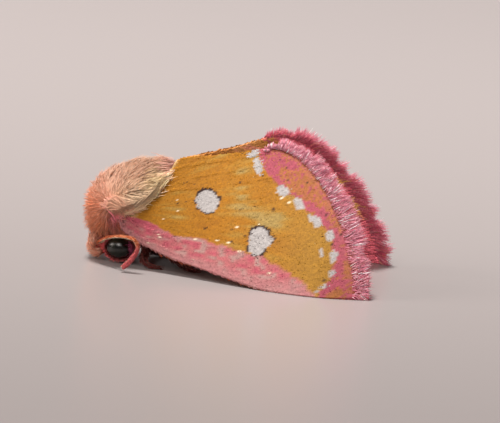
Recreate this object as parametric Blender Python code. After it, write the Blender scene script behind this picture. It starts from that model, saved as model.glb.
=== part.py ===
# Pink star moth at rest, wings held like a roof, life size.
#
# The head points along -X and the wings' tips lie towards +X. The floor is Z = 0 and the moth's
# midline is Y = 0. Sizes are written in millimetres and turned to metres when a mesh is made.
# side is -1 for the moth's left and +1 for its right.

import math
import random

import bmesh
import bpy
from mathutils import Matrix, Vector

MM = 0.001
GAP = 0.3
SIDES = {"left": -1, "right": 1}

# How far each wing's outer face stands from the midline, at the floor and at the ridge.
FOOT_AT_ROOT = 2.05
FOOT_SPREAD = 3.35
FOOT_START_X = -5.6
FOOT_RUN = 10.4
FOOT_CURVE = 1.25
TIP_TUCK = 0.8
TIP_TUCK_START_X = 4.0
TIP_TUCK_RUN = 3.0
TIP_TUCK_LIMIT = 2.0
RIDGE_HALF_WIDTH = 0.64
SHOULDER_EXTRA = 1.15
SHOULDER_START_X = -1.0
SHOULDER_RUN = 4.5
SHOULDER_CURVE = 1.5
RIDGE_RISE = 0.235
WING_BULGE = 0.25

WING_THICKNESS = 0.5

# The fringe is a row of flat tufts along the outer margin. It is longest on the right wing and
# short at each ridge's end, from where it grows by FRINGE_GROWTH times the way across the wing.
# FRINGE_FAN turns it from the wing's own direction towards straight out of the margin.
FRINGE_LENGTH = {"left": 0.76, "right": 0.92}
FRINGE_FAN = 0.7
HIND_FRINGE_LENGTH = 0.62
FRINGE_SHORT = 0.35
FRINGE_GROWTH = 3.2
FRINGE_SIZES = (0.85, 1.1)
FRINGE_ROOT = 0.3
FRINGE_FIRST = 0.004
FRINGE_LAST = 0.989
FRINGE_WAY_FROM = 0.96
FRINGE_NORMAL_AT = 0.99
FRINGE_TUFTS = 32
HIND_FRINGE_TUFTS = 12
TUFT_WIDTH = 0.42
TUFT_THICKNESS = 0.32
TUFT_BEND = 0.04
TUFT_SWAY = 0.16
TUFT_STAGGER = 0.05

# Rings of a tuft or lock: place along it, then width and thickness as shares of its full size.
# The last one is the tip, whose thickness is set in millimetres.
TUFT_RINGS = [(0.0, 0.8, 0.9), (0.4, 1.0, 1.0), (0.75, 0.7, 0.7)]
TUFT_TIP_WIDTH = 0.2
TUFT_TIP = 0.12

# Outlines of each forewing in side view, as X and Z: the root edge from front to back, the
# leading edge from root to tip, the trailing edge, and the outer margin's curve between them.
FOREWING = {
    "left": {
        "ridge_height": 5.7,
        "root": [(-5.75, 2.5), (-5.15, 2.7), (-4.65, 3.1), (-3.85, 3.85), (-3.35, 4.95)],
        "leading": [(-5.75, 2.5), (-5.4, 1.8), (-4.45, 1.24), (-3.05, 0.8), (-1.3, 0.52),
                    (0.6, 0.2), (2.1, 0.03), (4.5, 0.0), (6.4, 0.05)],
        "trailing": [(-3.35, 4.95), (-2.9, 5.2), (-1.8, 5.36), (-0.4, 5.62), (0.85, 5.92)],
        "margin": [(6.4, 0.05), (5.8, 3.7), (3.1, 6.6), (0.85, 5.92)],
    },
    "right": {
        "ridge_height": 6.3,
        "root": [(-5.75, 2.5), (-5.15, 2.7), (-4.65, 3.15), (-3.85, 3.9), (-3.35, 4.8)],
        "leading": [(-5.75, 2.5), (-5.4, 1.8), (-4.45, 1.24), (-3.05, 0.8), (-1.3, 0.52),
                    (0.6, 0.2), (2.1, 0.03), (4.3, 0.0), (6.05, 0.05)],
        "trailing": [(-3.35, 4.8), (-2.0, 5.25), (-0.7, 5.68), (0.6, 6.2)],
        "margin": [(6.05, 0.05), (5.2, 3.2), (2.9, 7.2), (0.6, 6.2)],
    },
}

# Each forewing vein: its place across the wing, its height, and where along the wing it starts.
FOREWING_VEINS = [
    (0.05, 0.16, 0.0),
    (0.17, 0.14, 0.0),
    (0.29, 0.12, 0.5),
    (0.41, 0.12, 0.5),
    (0.53, 0.12, 0.5),
    (0.65, 0.14, 0.0),
    (0.77, 0.12, 0.35),
    (0.90, 0.13, 0.0),
]
VEIN_HALF_WIDTH = 0.028
VEIN_FALL = 0.35
FOREWING_STEPS = 12
NORMAL_STEP = 0.004

# The hindwings are folded flat inside the forewings, so their outlines lie on the forewing's
# own surface and are sunk under it by its thickness and two gaps.
HINDWING_VEIN_RISE = 0.1
HINDWING_DEPTH = WING_THICKNESS + GAP + HINDWING_VEIN_RISE
HINDWING = {
    "root": [(-2.4, 2.4), (-2.4, 2.8), (-2.4, 3.2)],
    "leading": [(-2.4, 2.4), (-1.0, 1.8), (1.2, 1.5), (3.6, 1.35)],
    "trailing": [(-2.4, 3.2), (-1.2, 3.45), (0.3, 3.8), (1.5, 4.1)],
    "margin": [(3.6, 1.35), (4.3, 2.6), (3.4, 4.2), (1.5, 4.1)],
}
HINDWING_VEINS = [
    (0.12, HINDWING_VEIN_RISE, 0.0),
    (0.36, HINDWING_VEIN_RISE, 0.4),
    (0.62, HINDWING_VEIN_RISE, 0.0),
    (0.85, HINDWING_VEIN_RISE, 0.0),
]
HINDWING_STEPS = 8

# The room that the thorax leaves round each forewing's root half, in steps along and across it.
WING_MIDDLE = Vector((0.0, 2.8))
CLEARANCE = 0.58
CLEARANCE_REACH = 1.5
CLEARANCE_SHARE = 0.5
CLEARANCE_ALONG = 10
CLEARANCE_ACROSS = 12

# Rings of the thorax's fur out to its tips, along X: place, centre height, half width and half
# height. The core lies under them by the fur's depth, and the locks rise from it.
THORAX_RINGS = [
    (-7.36, 2.45, 0.75, 0.6),
    (-7.15, 2.5, 1.3, 0.98),
    (-6.65, 2.72, 1.8, 1.3),
    (-6.0, 2.84, 2.12, 1.52),
    (-5.2, 2.9, 2.25, 1.8),
    (-4.4, 2.92, 2.1, 1.88),
    (-3.6, 2.95, 1.7, 1.88),
    (-2.95, 2.6, 1.3, 1.5),
    (-2.6, 2.2, 1.0, 1.1),
]
THORAX_SIDES = 20
FUR_DEPTH = 0.42

# The locks of fur stand in rows round the thorax, longer towards the back. One that would touch
# a neighbour is tried again at each of the smaller sizes, and left out if none fits.
LOCK_ROWS = 8
LOCKS_ROUND = 14
LOCK_LENGTH = 1.25
LOCK_SIZES = (0.85, 1.1)
LOCK_FRONT_SHARE = 0.75
LOCK_BACK_SHARE = 1.15
LOCK_GROWN_AT = 0.5
LOCK_TRIES = (1.0, 0.8, 0.65)
LOCK_WIDTH = 0.56
LOCK_THICKNESS = 0.3
LOCK_ROOT = 0.35
LOCK_LIFT = 0.75
LOCK_LIFTS = (0.8, 1.2)
LOCK_JITTER = 0.015
LOCK_BACK_STEP = 0.06
LOCK_BEND = 0.3
LOCK_FIRST_ROW = 0.04
LOCK_LAST_ROW = 0.8
LOCK_LOWEST_TIP = 1.3
TIP_MARGIN = 0.34
SEED = 7

# Head and eyes. The head is cut flat on each side, a gap inside the eye's own flat face.
HEAD_CENTRE = (-5.85, 0.0, 0.82)
HEAD_RADII = (0.8, 0.95, 0.64)
HEAD_SIDE_FLAT = 0.6
EYE_CENTRE = (-5.66, 0.95, 0.72)
EYE_RADII = (0.66, 0.52, 0.52)
ELLIPSOID_SIDES = 20
ELLIPSOID_RINGS = 12

# The abdomen swells from its waist, fullest a third of the way back, and sinks towards the tail.
ABDOMEN_FRONT_X = -2.3
ABDOMEN_LENGTH = 5.7
ABDOMEN_SEGMENTS = 7
ABDOMEN_HALF_WIDTH = 0.97
ABDOMEN_WAIST = 0.6
ABDOMEN_TAIL = 0.3
ABDOMEN_FRONT_Z = 2.0
ABDOMEN_DROP = 0.35
ABDOMEN_STEP = 0.05
ABDOMEN_STEP_RINGS = 3
ABDOMEN_SWELL_START = 0.12
ABDOMEN_SWELL_RATE = 1.25
ABDOMEN_SWELL_CURVE = 0.7
ABDOMEN_FLATNESS = 0.92
ABDOMEN_SIDES = 20

# Feelers and legs as centre lines on the right side, with the radius at both ends.
ANTENNA_PATH = [(-6.6, 1.5, 0.9), (-6.2, 2.05, 1.3), (-5.68, 2.6, 1.52), (-5.18, 3.05, 1.62),
                (-4.74, 3.25, 1.57), (-4.52, 3.32, 1.3), (-4.55, 3.35, 1.02), (-4.7, 3.35, 0.74),
                (-4.9, 3.35, 0.46), (-5.1, 3.35, 0.26)]
ANTENNA_RADII = (0.26, 0.24)
PALP_PATH = [(-7.02, 0.43, 0.32), (-7.1, 0.43, 0.6), (-7.12, 0.43, 0.85), (-7.04, 0.43, 1.08)]
PALP_RADII = (0.27, 0.22)
LEG_RADII = (0.28, 0.25)
LEG_PATHS = {
    "foreleg": [(-4.3, 0.5, 0.5), (-4.45, 0.95, 0.48), (-4.45, 1.4, 0.4), (-4.15, 1.68, 0.27),
                (-3.6, 1.75, 0.25)],
    "midleg": [(-3.55, 0.5, 0.5), (-3.3, 0.85, 0.5), (-2.9, 1.2, 0.4), (-2.4, 1.55, 0.27),
               (-1.8, 1.75, 0.25)],
    "hindleg": [(-2.6, 0.45, 0.5), (-2.1, 0.55, 0.5), (-1.3, 0.75, 0.42), (-0.4, 1.0, 0.27),
                (0.7, 1.25, 0.25)],
}
TUBE_SIDES = 8
TUBE_RING_SPACING = 0.3
TUBE_END_REACH = 0.4
TUBE_END_SIZE = 0.6

PINK = (0.62, 0.24, 0.26)
OCHRE = (0.58, 0.28, 0.03)
SALMON = (0.6, 0.25, 0.14)
CREAM = (0.72, 0.5, 0.3)
BROWN = (0.25, 0.09, 0.05)
EYE_DARK = (0.012, 0.012, 0.008)


def remove_old_objects():
    for item in list(bpy.data.objects):
        bpy.data.objects.remove(item, do_unlink=True)


def make_material(name, colour, roughness):
    material = bpy.data.materials.new(name)
    material.use_nodes = True
    shader = material.node_tree.nodes["Principled BSDF"]
    shader.inputs["Base Color"].default_value = (*colour, 1.0)
    shader.inputs["Roughness"].default_value = roughness
    shader.inputs["Metallic"].default_value = 0.0
    return material


def make_object(name, bm):
    # Turns the millimetres of a bmesh into an object in metres, with its faces pointing out.
    bmesh.ops.scale(bm, vec=(MM, MM, MM), verts=bm.verts)
    bmesh.ops.recalc_face_normals(bm, faces=bm.faces)
    mesh = bpy.data.meshes.new(name)
    bm.to_mesh(mesh)
    bm.free()
    thing = bpy.data.objects.new(name, mesh)
    bpy.context.scene.collection.objects.link(thing)
    return thing


def finish(thing, colour, roughness):
    thing.data.materials.clear()
    thing.data.materials.append(make_material(thing.name, colour, roughness))
    thing.data.shade_smooth()
    thing.data.set_sharp_from_angle(angle=math.radians(50))


def apply_boolean(thing, operation, other):
    # Works one Boolean with the other closed mesh into the thing and removes the other.
    modifier = thing.modifiers.new(operation, "BOOLEAN")
    modifier.operation = operation
    modifier.solver = "EXACT"
    modifier.object = other
    evaluated = thing.evaluated_get(bpy.context.evaluated_depsgraph_get())
    mesh = bpy.data.meshes.new_from_object(evaluated)
    thing.modifiers.clear()
    thing.data = mesh
    bpy.data.objects.remove(other, do_unlink=True)


def fuse(thing, pieces):
    # Joins the closed pieces to the thing in one union and keeps the one body that they make.
    group = bpy.data.collections.new(f"{thing.name}_pieces")
    for piece in pieces:
        group.objects.link(piece)
    modifier = thing.modifiers.new("UNION", "BOOLEAN")
    modifier.operation = "UNION"
    modifier.solver = "EXACT"
    modifier.operand_type = "COLLECTION"
    modifier.collection = group
    modifier.use_self = True
    evaluated = thing.evaluated_get(bpy.context.evaluated_depsgraph_get())
    mesh = bpy.data.meshes.new_from_object(evaluated)
    thing.modifiers.clear()
    thing.data = mesh
    for piece in pieces:
        bpy.data.objects.remove(piece, do_unlink=True)
    bpy.data.collections.remove(group)
    keep_largest_surface(thing)


def keep_largest_surface(thing):
    # Drops every closed surface of the mesh but the one that holds the most.
    bm = bmesh.new()
    bm.from_mesh(thing.data)
    left = set(bm.faces)
    islands = []
    while left:
        front = [left.pop()]
        island = list(front)
        while front:
            face = front.pop()
            near = {other for edge in face.edges for other in edge.link_faces} & left
            left -= near
            front.extend(near)
            island.extend(near)
        islands.append(island)
    volumes = []
    for island in islands:
        origin = island[0].verts[0].co.copy()
        volume = 0.0
        for face in island:
            corners = [vert.co - origin for vert in face.verts]
            for second, third in zip(corners[1:], corners[2:]):
                volume += corners[0].dot(second.cross(third)) / 6.0
        volumes.append(abs(volume))
    biggest = volumes.index(max(volumes))
    loose = [face for index, island in enumerate(islands) if index != biggest for face in island]
    bmesh.ops.delete(bm, geom=loose, context="FACES")
    bm.to_mesh(thing.data)
    bm.free()


def smooth_point(points, share):
    # A point on the smooth curve through the points, run on straight past either end.
    spans = len(points) - 1
    place = min(max(share, 0.0), 1.0) * spans
    index = min(int(place), spans - 1)
    t = place - index
    known = [Vector(point) for point in points]
    before = known[index - 1] if index else 2 * known[0] - known[1]
    here, there = known[index], known[index + 1]
    after = known[index + 2] if index + 2 <= spans else 2 * known[-1] - known[-2]
    found = 0.5 * (
        2 * here
        + (there - before) * t
        + (2 * before - 5 * here + 4 * there - after) * t ** 2
        + (3 * here - before - 3 * there + after) * t ** 3
    )
    if share < 0.0:
        found = found + (known[1] - known[0]) * share * spans
    if share > 1.0:
        found = found + (known[-1] - known[-2]) * (share - 1.0) * spans
    return found


def bezier_point(points, t):
    a, b, c, d = (Vector(point) for point in points)
    s = 1.0 - t
    return a * s ** 3 + b * 3 * s ** 2 * t + c * 3 * s * t ** 2 + d * t ** 3


def outline_point(shape, along, across):
    # Blends a wing's four edges: along runs from root to outer margin, across from leading to
    # trailing edge.
    lead = smooth_point(shape["leading"], along)
    trail = smooth_point(shape["trailing"], along)
    root = smooth_point(shape["root"], across)
    margin = bezier_point(shape["margin"], across)
    ends = (
        smooth_point(shape["leading"], 0.0) * (1 - along) * (1 - across)
        + smooth_point(shape["leading"], 1.0) * along * (1 - across)
        + smooth_point(shape["trailing"], 0.0) * (1 - along) * across
        + smooth_point(shape["trailing"], 1.0) * along * across
    )
    sides = lead * (1 - across) + trail * across
    return sides + root * (1 - along) + margin * along - ends


def stand_out(x, z, ridge_height):
    # The distance of a wing's outer face from the midline at this place in side view.
    turn = min(max((x - FOOT_START_X) / FOOT_RUN, 0.0), 1.0) * math.pi / 2
    tuck = min(max((x - TIP_TUCK_START_X) / TIP_TUCK_RUN, 0.0), TIP_TUCK_LIMIT)
    foot = FOOT_AT_ROOT + FOOT_SPREAD * math.sin(turn) ** FOOT_CURVE - TIP_TUCK * tuck ** 2
    shoulder = min(max((SHOULDER_START_X - x) / SHOULDER_RUN, 0.0), 1.0)
    ridge = RIDGE_HALF_WIDTH + SHOULDER_EXTRA * shoulder ** SHOULDER_CURVE
    share = z / (ridge_height + RIDGE_RISE * x)
    return foot * (1 - share) + ridge * share + WING_BULGE * 4 * share * (1 - share)


def wing_point(shape, side, ridge_height, along, across):
    place = outline_point(shape, along, across)
    return Vector((place.x, side * stand_out(place.x, place.y, ridge_height), place.y))


def wing_normal(shape, side, ridge_height, along, across):
    here = wing_point(shape, side, ridge_height, along, across)
    onward = wing_point(shape, side, ridge_height, along + NORMAL_STEP, across) - here
    upward = wing_point(shape, side, ridge_height, along, across + NORMAL_STEP) - here
    normal = onward.cross(upward).normalized()
    return normal if normal.y * side > 0 else -normal


def vein_height(veins, along, across):
    height = 0.0
    for place, rise, start in veins:
        if abs(across - place) < VEIN_HALF_WIDTH * 0.5 and along >= start:
            height = rise * (1.0 - VEIN_FALL * along)
    return height


def across_places(veins, start, end):
    # Lines across a wing: both edges, and each vein's crest with its two flanks.
    places = [start, end]
    for place, _, _ in veins:
        places += [place - VEIN_HALF_WIDTH, place, place + VEIN_HALF_WIDTH]
    return sorted(places)


def sheet(alongs, acrosses, outer_point, inner_point):
    # A closed thin solid over a grid, split into the same triangles on both faces.
    bm = bmesh.new()
    columns = len(alongs) - 1
    rows = len(acrosses) - 1
    bmesh.ops.create_grid(bm, x_segments=columns, y_segments=rows, size=0.5)
    u_layer = bm.verts.layers.float.new("along")
    v_layer = bm.verts.layers.float.new("across")
    for vert in bm.verts:
        vert[u_layer] = alongs[round((vert.co.x + 0.5) * columns)]
        vert[v_layer] = acrosses[round((vert.co.y + 0.5) * rows)]
    bmesh.ops.triangulate(bm, faces=bm.faces, quad_method="FIXED")
    outer = list(bm.verts)
    made = bmesh.ops.extrude_face_region(bm, geom=bm.faces[:])
    inner = [item for item in made["geom"] if isinstance(item, bmesh.types.BMVert)]
    for vert in outer:
        vert.co = outer_point(vert[u_layer], vert[v_layer])
    for vert in inner:
        vert.co = inner_point(vert[u_layer], vert[v_layer])
    bmesh.ops.triangulate(bm, faces=[face for face in bm.faces if len(face.verts) > 3])
    return bm


def lock(name, root, onward, outward, length, width, thickness, bend):
    # A flat tapered tuft from inside its root to its tip. outward is the side that it shows, and
    # bend brings the tip back down towards the body.
    onward = onward.normalized()
    outward = (outward - onward * outward.dot(onward)).normalized()
    tip = (1.0, TUFT_TIP_WIDTH, TUFT_TIP / thickness)
    matrices = []
    for share, wide, thick in TUFT_RINGS + [tip]:
        place = root + onward * length * share - outward * bend * share ** 2
        facing = onward * length - outward * 2 * bend * share
        across = outward.cross(facing).normalized()
        raised = facing.normalized().cross(across)
        turn = Matrix((across, raised, facing.normalized())).transposed().to_4x4()
        size = Matrix.Diagonal((width * wide / 2, thickness * thick / 2, 1.0, 1.0))
        matrices.append(Matrix.Translation(place) @ turn @ size)
    bm = loft(matrices, 4)
    for vert in bm.verts:
        vert.co.z = max(vert.co.z, 0.0)
    return make_object(name, bm)


def above_floor(point):
    return Vector((point.x, point.y, max(point.z, 0.0)))


def forewing(name, side_name):
    side = SIDES[side_name]
    shape = FOREWING[side_name]
    height = shape["ridge_height"]

    def at(along, across, raised):
        normal = wing_normal(shape, side, height, along, across)
        return above_floor(wing_point(shape, side, height, along, across) + normal * raised)

    def outer(along, across):
        return at(along, across, vein_height(FOREWING_VEINS, along, across))

    def inner(along, across):
        return at(along, across, -WING_THICKNESS)

    alongs = [index / FOREWING_STEPS for index in range(FOREWING_STEPS + 1)]
    acrosses = across_places(FOREWING_VEINS, 0.0, 1.0)
    made = make_object(name, sheet(alongs, acrosses, outer, inner))
    middle = WING_THICKNESS / 2
    length = FRINGE_LENGTH[side_name]
    fuse(made, fringe(name, shape, side, height, middle, FRINGE_TUFTS, length))
    return made


def fringe_way(shape, side, height, across, normal):
    # The way that the fringe points at this place on the outer margin.
    edge = wing_point(shape, side, height, 1.0, across)
    onward = (edge - wing_point(shape, side, height, FRINGE_WAY_FROM, across)).normalized()
    along_edge = wing_point(shape, side, height, 1.0, across + NORMAL_STEP) - edge
    outward = along_edge.cross(normal).normalized()
    if outward.dot(onward) < 0.0:
        outward = -outward
    return edge, (onward * (1.0 - FRINGE_FAN) + outward * FRINGE_FAN).normalized()


def fringe(name, shape, side, height, sink, count, full_length):
    # Tufts fanned along the outer margin, each rooted in the middle of the wing's thickness.
    draw = random.Random(f"{SEED} {name}")
    tufts = []
    for index in range(count):
        across = FRINGE_FIRST + (FRINGE_LAST - FRINGE_FIRST) * (index + 0.5) / count
        normal = wing_normal(shape, side, height, FRINGE_NORMAL_AT, across)
        edge, outward = fringe_way(shape, side, height, across, normal)
        along_edge = outward.cross(normal)
        onward = outward + along_edge * draw.uniform(-TUFT_SWAY, TUFT_SWAY)
        grow = min(1.0, FRINGE_SHORT + FRINGE_GROWTH * (1.0 - across)) * draw.uniform(*FRINGE_SIZES)
        stagger = TUFT_STAGGER * (1 if index % 2 else -1)
        root = edge - normal * (sink + stagger) - onward.normalized() * FRINGE_ROOT
        facing = normal + along_edge * draw.uniform(-TUFT_SWAY, TUFT_SWAY)
        length = full_length * grow + FRINGE_ROOT
        tufts.append(
            lock(f"tuft_{index}", root, onward, facing, length, TUFT_WIDTH, TUFT_THICKNESS, TUFT_BEND)
        )
    return tufts


def grown(shape, distance):
    # The same outlines with every point moved outwards from the wing's middle.
    made = {}
    for edge in ("root", "leading", "trailing", "margin"):
        points = [Vector(point) for point in shape[edge]]
        made[edge] = [point + (point - WING_MIDDLE).normalized() * distance for point in points]
    return made


def wing_clearance(side_name):
    # The room that a forewing keeps clear round its root, out past the body's side.
    side = SIDES[side_name]
    shape = grown(FOREWING[side_name], CLEARANCE)
    height = FOREWING[side_name]["ridge_height"]

    def face(offset):
        def at(along, across):
            normal = wing_normal(shape, side, height, along, across)
            return wing_point(shape, side, height, along, across) + normal * offset
        return at

    alongs = [CLEARANCE_SHARE * index / CLEARANCE_ALONG for index in range(CLEARANCE_ALONG + 1)]
    acrosses = [index / CLEARANCE_ACROSS for index in range(CLEARANCE_ACROSS + 1)]
    room = sheet(alongs, acrosses, face(CLEARANCE_REACH), face(-WING_THICKNESS - GAP))
    return make_object(f"clearance_{side_name}", room)


def hindwing(name, side_name):
    side = SIDES[side_name]
    height = FOREWING[side_name]["ridge_height"]

    def at(along, across, sink):
        normal = wing_normal(HINDWING, side, height, along, across)
        return wing_point(HINDWING, side, height, along, across) - normal * sink

    def outer(along, across):
        rise = vein_height(HINDWING_VEINS, along, across)
        return at(along, across, HINDWING_DEPTH - rise)

    def inner(along, across):
        return at(along, across, HINDWING_DEPTH + WING_THICKNESS)

    alongs = [index / HINDWING_STEPS for index in range(HINDWING_STEPS + 1)]
    acrosses = across_places(HINDWING_VEINS, 0.0, 1.0)
    made = make_object(name, sheet(alongs, acrosses, outer, inner))
    middle = HINDWING_DEPTH + WING_THICKNESS / 2
    tufts = fringe(name, HINDWING, side, height, middle, HIND_FRINGE_TUFTS, HIND_FRINGE_LENGTH)
    fuse(made, tufts)
    return made


def ring_matrix(centre, facing, half_width, half_height, sideways=(0, 1, 0)):
    # Places a unit circle across the facing direction, its own X turned as near as it can be to
    # sideways.
    facing = Vector(facing).normalized()
    sideways = Vector(sideways)
    sideways = (sideways - facing * sideways.dot(facing)).normalized()
    upward = facing.cross(sideways)
    turn = Matrix((sideways, upward, facing)).transposed().to_4x4()
    size = Matrix.Diagonal((half_width, half_height, 1.0, 1.0))
    return Matrix.Translation(centre) @ turn @ size


def loft(matrices, sides):
    # A closed solid through rings, made by extruding one circle from place to place.
    bm = bmesh.new()
    bmesh.ops.create_circle(bm, segments=sides, radius=1.0, cap_ends=True, matrix=matrices[0])
    start = bm.faces[:][0]
    end = start
    for before, after in zip(matrices, matrices[1:]):
        made = bmesh.ops.extrude_face_region(bm, geom=[end])["geom"]
        verts = [item for item in made if isinstance(item, bmesh.types.BMVert)]
        bmesh.ops.transform(bm, matrix=after @ before.inverted(), verts=verts)
        if end.is_valid and end is not start:
            bmesh.ops.delete(bm, geom=[end], context="FACES_ONLY")
        end = next(item for item in made if isinstance(item, bmesh.types.BMFace))
    bmesh.ops.triangulate(bm, faces=bm.faces)
    return bm


def tube(name, path, radii, side):
    # A round limb along a path, with rounded ends and a small flat where it meets the floor.
    points = [Vector((x, side * y, z)) for x, y, z in path]
    length = sum((after - before).length for before, after in zip(points, points[1:]))
    steps = round(length / TUBE_RING_SPACING)
    places = []
    for index in range(steps + 1):
        share = index / steps
        facing = smooth_point(points, share + 0.02) - smooth_point(points, share - 0.02)
        radius = radii[0] + (radii[1] - radii[0]) * share
        places.append((smooth_point(points, share), facing.normalized(), radius))
    for index, way in ((0, -1), (-1, 1)):
        here, facing, radius = places[index]
        end = (here + facing * way * radius * TUBE_END_REACH, facing, radius * TUBE_END_SIZE)
        places.insert(0 if index == 0 else len(places), end)
    sideways = Vector((0.0, 1.0, 0.0))
    matrices = []
    for here, facing, radius in places:
        sideways = (sideways - facing * sideways.dot(facing)).normalized()
        matrices.append(ring_matrix(here, facing, radius, radius, sideways))
    bm = loft(matrices, TUBE_SIDES)
    for vert in bm.verts:
        vert.co.z = max(vert.co.z, 0.0)
    return make_object(name, bm)


def ellipsoid(name, centre, radii, extra=0.0, side_limit=None, from_side=None):
    bm = bmesh.new()
    bmesh.ops.create_uvsphere(
        bm, u_segments=ELLIPSOID_SIDES, v_segments=ELLIPSOID_RINGS, radius=1.0
    )
    bmesh.ops.scale(bm, vec=[radius + extra for radius in radii], verts=bm.verts)
    bmesh.ops.translate(bm, vec=centre, verts=bm.verts)
    cuts = []
    if side_limit is not None:
        cuts += [((0, side_limit, 0), (0, 1, 0)), ((0, -side_limit, 0), (0, -1, 0))]
    if from_side is not None:
        cuts += [((0, from_side, 0), (0, -math.copysign(1, from_side), 0))]
    for place, away in cuts:
        geom = bm.verts[:] + bm.edges[:] + bm.faces[:]
        cut = bmesh.ops.bisect_plane(bm, geom=geom, plane_co=place, plane_no=away, clear_outer=True)
        edges = [item for item in cut["geom_cut"] if isinstance(item, bmesh.types.BMEdge)]
        bmesh.ops.edgeloop_fill(bm, edges=edges)
    bmesh.ops.triangulate(bm, faces=bm.faces)
    return make_object(name, bm)


def head():
    return ellipsoid("head", HEAD_CENTRE, HEAD_RADII, side_limit=HEAD_SIDE_FLAT)


def mirrored(point, side):
    return (point[0], side * point[1], point[2])


def eye(name, side):
    centre = mirrored(EYE_CENTRE, side)
    return ellipsoid(name, centre, EYE_RADII, from_side=side * (HEAD_SIDE_FLAT + GAP))


def thorax_ring(share, depth):
    # The thorax's ring at this share of its length, sunk by depth under the fur's tips.
    spans = len(THORAX_RINGS) - 1
    index = min(int(share * spans), spans - 1)
    t = share * spans - index
    ring = [a + (b - a) * t for a, b in zip(THORAX_RINGS[index], THORAX_RINGS[index + 1])]
    return ring[0], ring[1], ring[2] - depth, ring[3] - depth


def thorax_point(share, angle, depth):
    x, z, half_width, half_height = thorax_ring(share, depth)
    return Vector((x, half_width * math.sin(angle), z + half_height * math.cos(angle)))


def is_clear(point, margin):
    # Whether a lock may reach this point: inside the wings' roots, off the head and the abdomen.
    for side_name, side in SIDES.items():
        shape = FOREWING[side_name]
        start, end = Vector(shape["root"][0]), Vector(shape["root"][-1])
        run = (end - start).normalized()
        behind = (point.x - start.x) * run.y - (point.z - start.y) * run.x
        inner_face = stand_out(point.x, point.z, shape["ridge_height"]) - WING_THICKNESS
        if behind > -margin and point.y * side > inner_face - margin:
            return False
    reach = [radius + GAP + margin for radius in HEAD_RADII]
    reach[1] += EYE_RADII[1]
    offset = [(point[axis] - HEAD_CENTRE[axis]) / reach[axis] for axis in range(3)]
    if sum(value ** 2 for value in offset) < 1.0:
        return False
    return point.z > LOCK_LOWEST_TIP and point.x < ABDOMEN_FRONT_X - GAP - margin


def thorax_locks():
    # Overlapping locks in rows from the front back, rising from the core out to the fur's tips.
    draw = random.Random(SEED)
    locks = []
    for row in range(LOCK_ROWS):
        share = LOCK_FIRST_ROW + (LOCK_LAST_ROW - LOCK_FIRST_ROW) * row / (LOCK_ROWS - 1)
        for index in range(LOCKS_ROUND):
            turn = (index + 0.5 * (row % 2)) / LOCKS_ROUND + draw.uniform(-LOCK_JITTER, LOCK_JITTER)
            angle = 2 * math.pi * turn
            lift = LOCK_LIFT * draw.uniform(*LOCK_LIFTS)
            grown_by = (LOCK_BACK_SHARE - LOCK_FRONT_SHARE) * min(share / LOCK_GROWN_AT, 1.0)
            length = LOCK_LENGTH * draw.uniform(*LOCK_SIZES) * (LOCK_FRONT_SHARE + grown_by)
            root = thorax_point(share, angle, FUR_DEPTH + LOCK_ROOT)
            outward = (thorax_point(share, angle, 0.0) - root).normalized()
            behind = thorax_point(share + LOCK_BACK_STEP, angle, FUR_DEPTH)
            backward = behind - thorax_point(share, angle, FUR_DEPTH)
            onward = (backward.normalized() + outward * lift).normalized()
            for shorter in LOCK_TRIES:
                bend = LOCK_BEND * shorter
                tip = root + onward * length * shorter - outward * bend
                if is_clear(tip, TIP_MARGIN) and is_clear(root, LOCK_WIDTH / 2):
                    locks.append(
                        lock(f"lock_{row}_{index}", root, onward, outward, length * shorter,
                             LOCK_WIDTH, LOCK_THICKNESS, bend)
                    )
                    break
    return locks


def thorax():
    rings = []
    for index in range(len(THORAX_RINGS)):
        depth = FUR_DEPTH if index < len(THORAX_RINGS) - 1 else 0.0
        x, z, half_width, half_height = thorax_ring(index / (len(THORAX_RINGS) - 1), depth)
        inset = FUR_DEPTH if index == 0 else 0.0
        rings.append(ring_matrix((x + inset, 0.0, z), (1, 0, 0), half_width, half_height))
    made = make_object("thorax", loft(rings, THORAX_SIDES))
    for side_name in SIDES:
        apply_boolean(made, "DIFFERENCE", wing_clearance(side_name))
    rooms = [("head_room", HEAD_CENTRE, HEAD_RADII)]
    for side_name, side in SIDES.items():
        rooms.append((f"eye_room_{side_name}", mirrored(EYE_CENTRE, side), EYE_RADII))
    for room_name, centre, radii in rooms:
        apply_boolean(made, "DIFFERENCE", ellipsoid(room_name, centre, radii, extra=GAP))
    fuse(made, thorax_locks())
    return made


def abdomen():
    # Overlapping segments, each one narrowing by a step towards the next.
    rings = []
    steps = ABDOMEN_STEP_RINGS * ABDOMEN_SEGMENTS
    for index in range(steps + 1):
        share = index / steps
        swelling = min(share * ABDOMEN_SWELL_RATE + ABDOMEN_SWELL_START, 1.0)
        swell = math.sin(math.pi * swelling) ** ABDOMEN_SWELL_CURVE
        radius = ABDOMEN_WAIST * (1 - share) + ABDOMEN_TAIL * share
        radius += (ABDOMEN_HALF_WIDTH - ABDOMEN_WAIST) * swell
        radius *= 1.0 - ABDOMEN_STEP * (index % ABDOMEN_STEP_RINGS) / (ABDOMEN_STEP_RINGS - 1)
        x = ABDOMEN_FRONT_X + ABDOMEN_LENGTH * share
        z = ABDOMEN_FRONT_Z - ABDOMEN_DROP * share
        rings.append(ring_matrix((x, 0.0, z), (1, 0, 0), radius, radius * ABDOMEN_FLATNESS))
    return make_object("abdomen", loft(rings, ABDOMEN_SIDES))


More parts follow.
